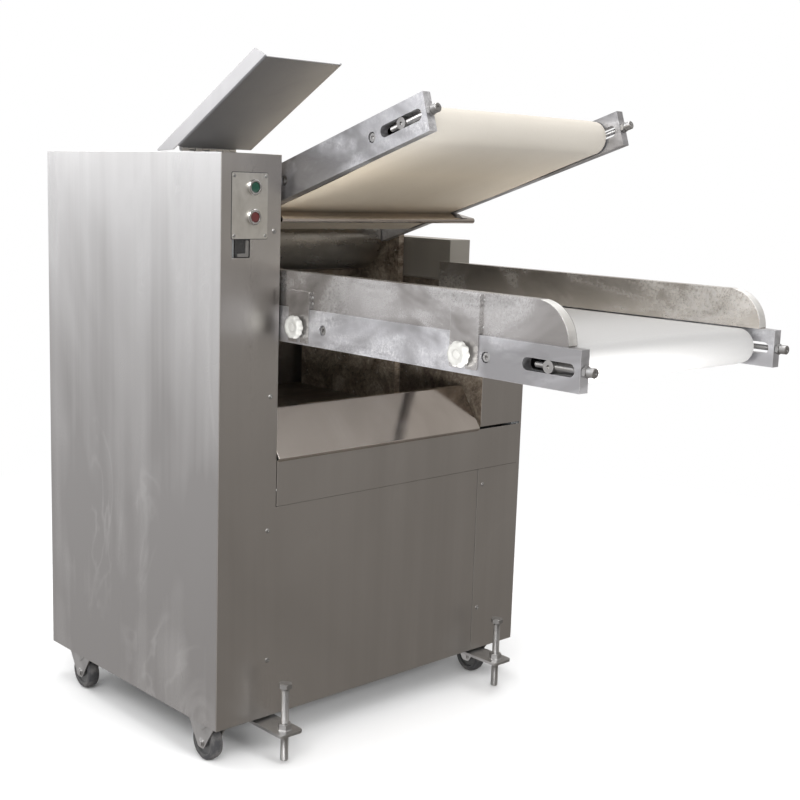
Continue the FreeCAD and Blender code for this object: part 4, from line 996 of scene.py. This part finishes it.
# ---- handwheel ----
def handwheel():
    """Moulded rim with finger waves, three spokes that swell into the hub, and the threaded screw."""
    low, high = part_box("gap_handwheel")
    centre = Vector(joints["gap_handwheel_turn"]["pos_m"])
    rim, thick = (high.x - low.x) / 2 - 7 * MM, 7 * MM
    wheel_y = high.y - 8 * MM
    shape = Shape()
    rows = []
    for k in range(96):
        a = 2 * pi * k / 96
        row = []
        for m in range(20):
            b = 2 * pi * m / 20
            waves = 0.8 * MM * cos(12 * a) * max(0.0, -cos(b))
            r = rim + (thick - 0.2 * MM) * cos(b) + waves
            across, up = r * cos(a), r * sin(a)
            row.append((centre.x + across, wheel_y + thick * sin(b), centre.z + up))
        rows.append(row)
    shape.skin(rows, loop=True)
    for k in range(3):
        a = pi / 2 + 2 * pi * k / 3
        way = Vector((cos(a), 0, sin(a)))
        rings = [(s * rim, (4.2 + 3.0 * (1 - s) ** 3) * MM) for s in (0.1, 0.25, 0.4, 0.55, 0.7, 0.85, 1.0)]
        shape.turned(rings, (centre.x, wheel_y, centre.z), way, 20)
    hub = mm((-10, 11), (-9, 14), (-2, 15), (5.5, 13.5), (7.4, 11), (7.8, 6))
    shape.turned(hub, (centre.x, wheel_y, centre.z), Y, 40)
    shape.paint = 1
    shape.thread((centre.x, low.y, centre.z), Y, wheel_y - low.y, 7.9 * MM, 2 * MM, 20)
    plate_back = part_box("frame_plates")[1].y
    collar = mm((0, 12.4), (0.6, 13), (7.2, 13), (7.8, 12.4))
    for start in (plate_back - 22 * MM, plate_back + 0.2 * MM):
        shape.turned(collar, (centre.x, start, centre.z), Y, 40)
    piece("gap_handwheel_rim", shape, "gap_handwheel", ["handwheel_black", "zinc"])


# ---- guards, rails and sheet parts in front ----
def side_guard(side, sign):
    """Hollow side guard with folded edges, its rounded end band, tabs and small screws."""
    node = side + "_guard"
    low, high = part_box(node)
    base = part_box("lower_rails")[1].z + 0.1 * MM
    outer = sign * (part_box("lower_rails")[1].x - 4 * MM)
    left = min(outer, outer - sign * 22 * MM)
    tall = high.z - base
    turn_y = low.y + tall
    shape = Shape()
    outline = [(high.y, base), (high.y, high.z)] + arc((turn_y, base), tall, 90, 180, 20)
    shape.prism(outline, (left, 0, 0), Y, Z, 22 * MM)
    shape.paint = 1
    centre = (turn_y - 0.4 * MM, base)
    band = arc(centre, tall, 96, 178, 20) + arc(centre, tall - 1.5 * MM, 178, 96, 20)
    shape.prism(band, (left + 1.5 * MM, 0, 0), Y, Z, 19 * MM)
    shape.paint = 0
    slot = 5.3 * MM
    # Each tab: the knob that clamps it, half its width, its foot and its head.
    for knob, *sizes in (("_rear_knob", 29.5, 837, 933), ("_front_knob", 32, 842, 966)):
        knob = middle(side + knob)
        half, bottom, top = mm(*sizes)
        outline = [(-half, bottom), (-slot, bottom)] + arc((0, knob.z), slot, 180, 0, 10)
        outline += [(slot, bottom), (half, bottom), (half, top), (-half, top)]
        radii = mm(3, *[0] * 13, 3, 3, 3)
        face = low.x if sign < 0 else high.x - 2 * MM
        shape.prism(softened(outline, radii), (face, knob.y, 0), Y, Z, 2 * MM)
        inside = sorted((face + (2 * MM if sign < 0 else 0), outer))
        shape.block((inside[0], knob.y - half, base + 1 * MM), (inside[1], knob.y + half, top))
        shape.paint = 2
        for z in (top - 10 * MM, base + 12 * MM):
            shape.pan_screw((outer, knob.y - half - 4 * MM, z), (sign, 0, 0), 2.4 * MM, 1.1 * MM)
        shape.paint = 0
    # The right guard's lighter, warmer finish is a painted reflection of the beige belt.
    sheet = "guard_stainless" if sign < 0 else "guard_right"
    piece(node + "_rail", shape, node, [sheet, "end_band", "zinc"], edge=0.9 * MM)


def finger_guard_sheet():
    """Bent sheet whose front edge is rolled into a tube."""
    low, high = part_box("finger_guard")
    lip_y, lip_z, curl = low.y + 6 * MM, 1062 * MM, 5 * MM
    slope = tan(FEED_SLOPE)
    bend_y, bend_z = lip_y + 50 * MM, high.z - 1 * MM
    path = [(bend_y + 42 * MM, bend_z - 42 * MM * slope), (bend_y, bend_z)]
    path = softened(path + [(lip_y + 1 * MM, lip_z + curl)], 4 * MM, closed=False)[:-1]
    path += arc((lip_y, lip_z), curl, 84, 395, 26)
    shape = Shape()
    shape.prism(widened(path, 1.8 * MM), (low.x, 0, 0), Y, Z, high.x - low.x)
    piece("finger_guard_sheet", shape, "finger_guard", ["tray_polished"], edge=0.3 * MM)


def catch_tray_sheet():
    """Band and polished chute, with rounded bends and an overhanging lip."""
    low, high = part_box("catch_tray")
    front, sheet = low.y + 6 * MM, 2 * MM
    band_tall, chute_wide = 91 * MM, 565.5 * MM
    shape = Shape()
    outline = softened(rectangle(high.x - low.x, band_tall), 1.5 * MM, steps=3)
    shape.prism(outline, (low.x, front + sheet, low.z), X, Z, sheet)
    lip, floor = low.z + band_tall + 4 * MM, high.z - 1 * MM
    path = [(front + 1.6 * MM, lip - 7 * MM), (low.y + 1.2 * MM, lip - 0.6 * MM),
            (front + 58.5 * MM, floor), (front + 69.5 * MM, floor)]
    path = softened(path, mm(0, 2.2, 3, 0), closed=False)
    shape.paint = 1
    shape.prism(widened(path, sheet), (low.x + 0.5 * MM, 0, 0), Y, Z, chute_wide)
    piece("catch_tray_sheet", shape, "catch_tray", ["stainless_front", "tray_polished"], edge=0.3 * MM)


for side, sign in (("left", -1), ("right", 1)):
    side_guard(side, sign)
    for end in ("front", "rear"):
        star_knob(side + "_" + end + "_knob", sign)
        caster_wheel(end + "_" + side + "_wheel")
    jack_bolt(side + "_jack_bolt")
    for level in ("lower", "upper"):
        bolt = level + "_" + side
        tension_bolt(bolt + "_tension_bolt", level + "_tail_shaft", bolt + "_bolt_turn")
push_button("start_button", "start_green")
push_button("stop_button", "stop_red")
switch_station()
finger_guard_sheet()
catch_tray_sheet()
jack_brackets()
cover_screws()
front_roller()
casters()
gear_box_lid()
hinge_leaf()
conveyor_belt("lower_belt", "lower_tail_roller", "lower_drive_roller", "belt_white", 4 * MM)
conveyor_belt("upper_belt", "upper_tail_roller", "upper_drive_roller", "belt_beige", 3 * MM)
handwheel()


# ---- stage, light and camera ----
def stage_floor():
    """A pale floor that fades to white far out. Mirrors don't see it: they see the world's room."""
    bpy.ops.mesh.primitive_plane_add(size=60, location=(0, 0, 0))
    floor = bpy.context.object
    floor.name = "floor"
    t = Finish("floor")
    t.finish(t.mix(t.noise(1.5, detail=3), (0.88, 0.88, 0.88), (0.92, 0.92, 0.92)), 0.8)
    distance = t.result(t.node("VectorMath", operation="LENGTH"), "Value", t.place)
    faded = t.remap(distance, 0.9, 2.6)
    share = t.times(faded, t.node("LightPath").outputs["Is Camera Ray"])
    blend = t.mixed_shader(share, t.surface.outputs[0], t.node("Emission").outputs[0])
    t.feed(t.tree.nodes["Material Output"].inputs["Surface"], blend)
    floor.data.materials.append(t.material)
    floor.visible_glossy = False


def surroundings():
    """White behind the object. Reflections see a room: bright to the left and behind, dim in front."""
    world = bpy.data.worlds.new("room")
    bpy.context.scene.world = world
    world.use_nodes = True
    world.node_tree.nodes.clear()
    t = Tree(world.node_tree)
    ray = t.node("TexCoord").outputs["Generated"]

    def ramp(way, stops):
        """A colour that changes with the ray's direction, from against way to along it."""
        made = t.node("ValToRGB")
        t.feed(made.inputs["Fac"], t.remap(t.dot(ray, way), -1.0, 1.0))
        bar = made.color_ramp
        while len(bar.elements) < len(stops):
            bar.elements.new(0.5)
        for element, (where, colour) in zip(bar.elements, stops):
            element.position = where
            element.color = colour + (1.0,)
        return made.outputs["Color"]

    side = ramp((-0.62, 0.78, 0.0), (
        (0.0, (0.34, 0.325, 0.31)), (0.30, (0.40, 0.385, 0.365)), (0.52, (0.56, 0.545, 0.53)),
        (0.75, (0.88, 0.88, 0.89)), (1.0, (0.96, 0.96, 0.98))))
    height = ramp((0.0, 0.0, 1.0), (
        (0.30, (0.55, 0.53, 0.51)), (0.47, (0.80, 0.79, 0.78)), (0.54, (1.0, 1.0, 1.0)),
        (0.75, (1.25, 1.25, 1.25)), (1.0, (1.1, 1.1, 1.1))))
    white = (1.0, 1.0, 1.0)
    seen = t.mix(1.0, side, height, blend="MULTIPLY")
    room, soft, plain = (t.result(t.node("Background"), 0, Color=colour, Strength=strength)
                         for colour, strength in ((seen, 1.0), (white, 0.75), (white, 1.0)))
    path = t.node("LightPath").outputs
    shown = t.mixed_shader(path["Is Camera Ray"], t.mixed_shader(path["Is Glossy Ray"], soft, room), plain)
    t.feed(t.node("OutputWorld").inputs["Surface"], shown)


def soft_lamp(name, place, aim, size, watts):
    lamp = bpy.data.lights.new(name, "AREA")
    lamp.shape = "RECTANGLE"
    lamp.size, lamp.size_y = size
    lamp.energy = watts
    obj = bpy.data.objects.new(name, lamp)
    bpy.context.scene.collection.objects.link(obj)
    obj.location = place
    obj.rotation_mode = "QUATERNION"
    obj.rotation_quaternion = (Vector(aim) - Vector(place)).to_track_quat("-Z", "Y")
    return obj


def camera():
    """The viewing angle of the reference: from the front left, a little above the rollers."""
    place = Vector((-1.7835, -1.8716, 1.135))
    yaw, pitch, roll = -0.7608, -0.1673, 0.0336
    ahead = Vector((-sin(yaw) * cos(pitch), cos(yaw) * cos(pitch), sin(pitch)))
    data = bpy.data.cameras.new("camera")
    data.lens = 57.42
    data.sensor_width = 36.0
    obj = bpy.data.objects.new("camera", data)
    bpy.context.scene.collection.objects.link(obj)
    obj.rotation_mode = "QUATERNION"
    turn = ahead.to_track_quat("-Z", "Y").to_matrix() @ Matrix.Rotation(roll, 3, "Z")
    obj.rotation_quaternion = turn.to_quaternion()
    obj.location = place
    bpy.context.scene.camera = obj


stage_floor()
surroundings()
soft_lamp("key", (-3.2, -2.2, 3.4), (0, 0, 0.7), (2.5, 2.5), 110)
soft_lamp("top", (0.3, 0.2, 4.2), (0, 0, 0.5), (3.0, 3.0), 90)
soft_lamp("back", (-1.5, 4.0, 2.5), (0, 0, 0.8), (3.0, 2.0), 60)
soft_lamp("bay", (-0.3, -0.9, 0.62), (0.05, 0.25, 0.66), (0.5, 0.2), 8).visible_glossy = False
camera()
bpy.context.scene.view_settings.view_transform = "Standard"
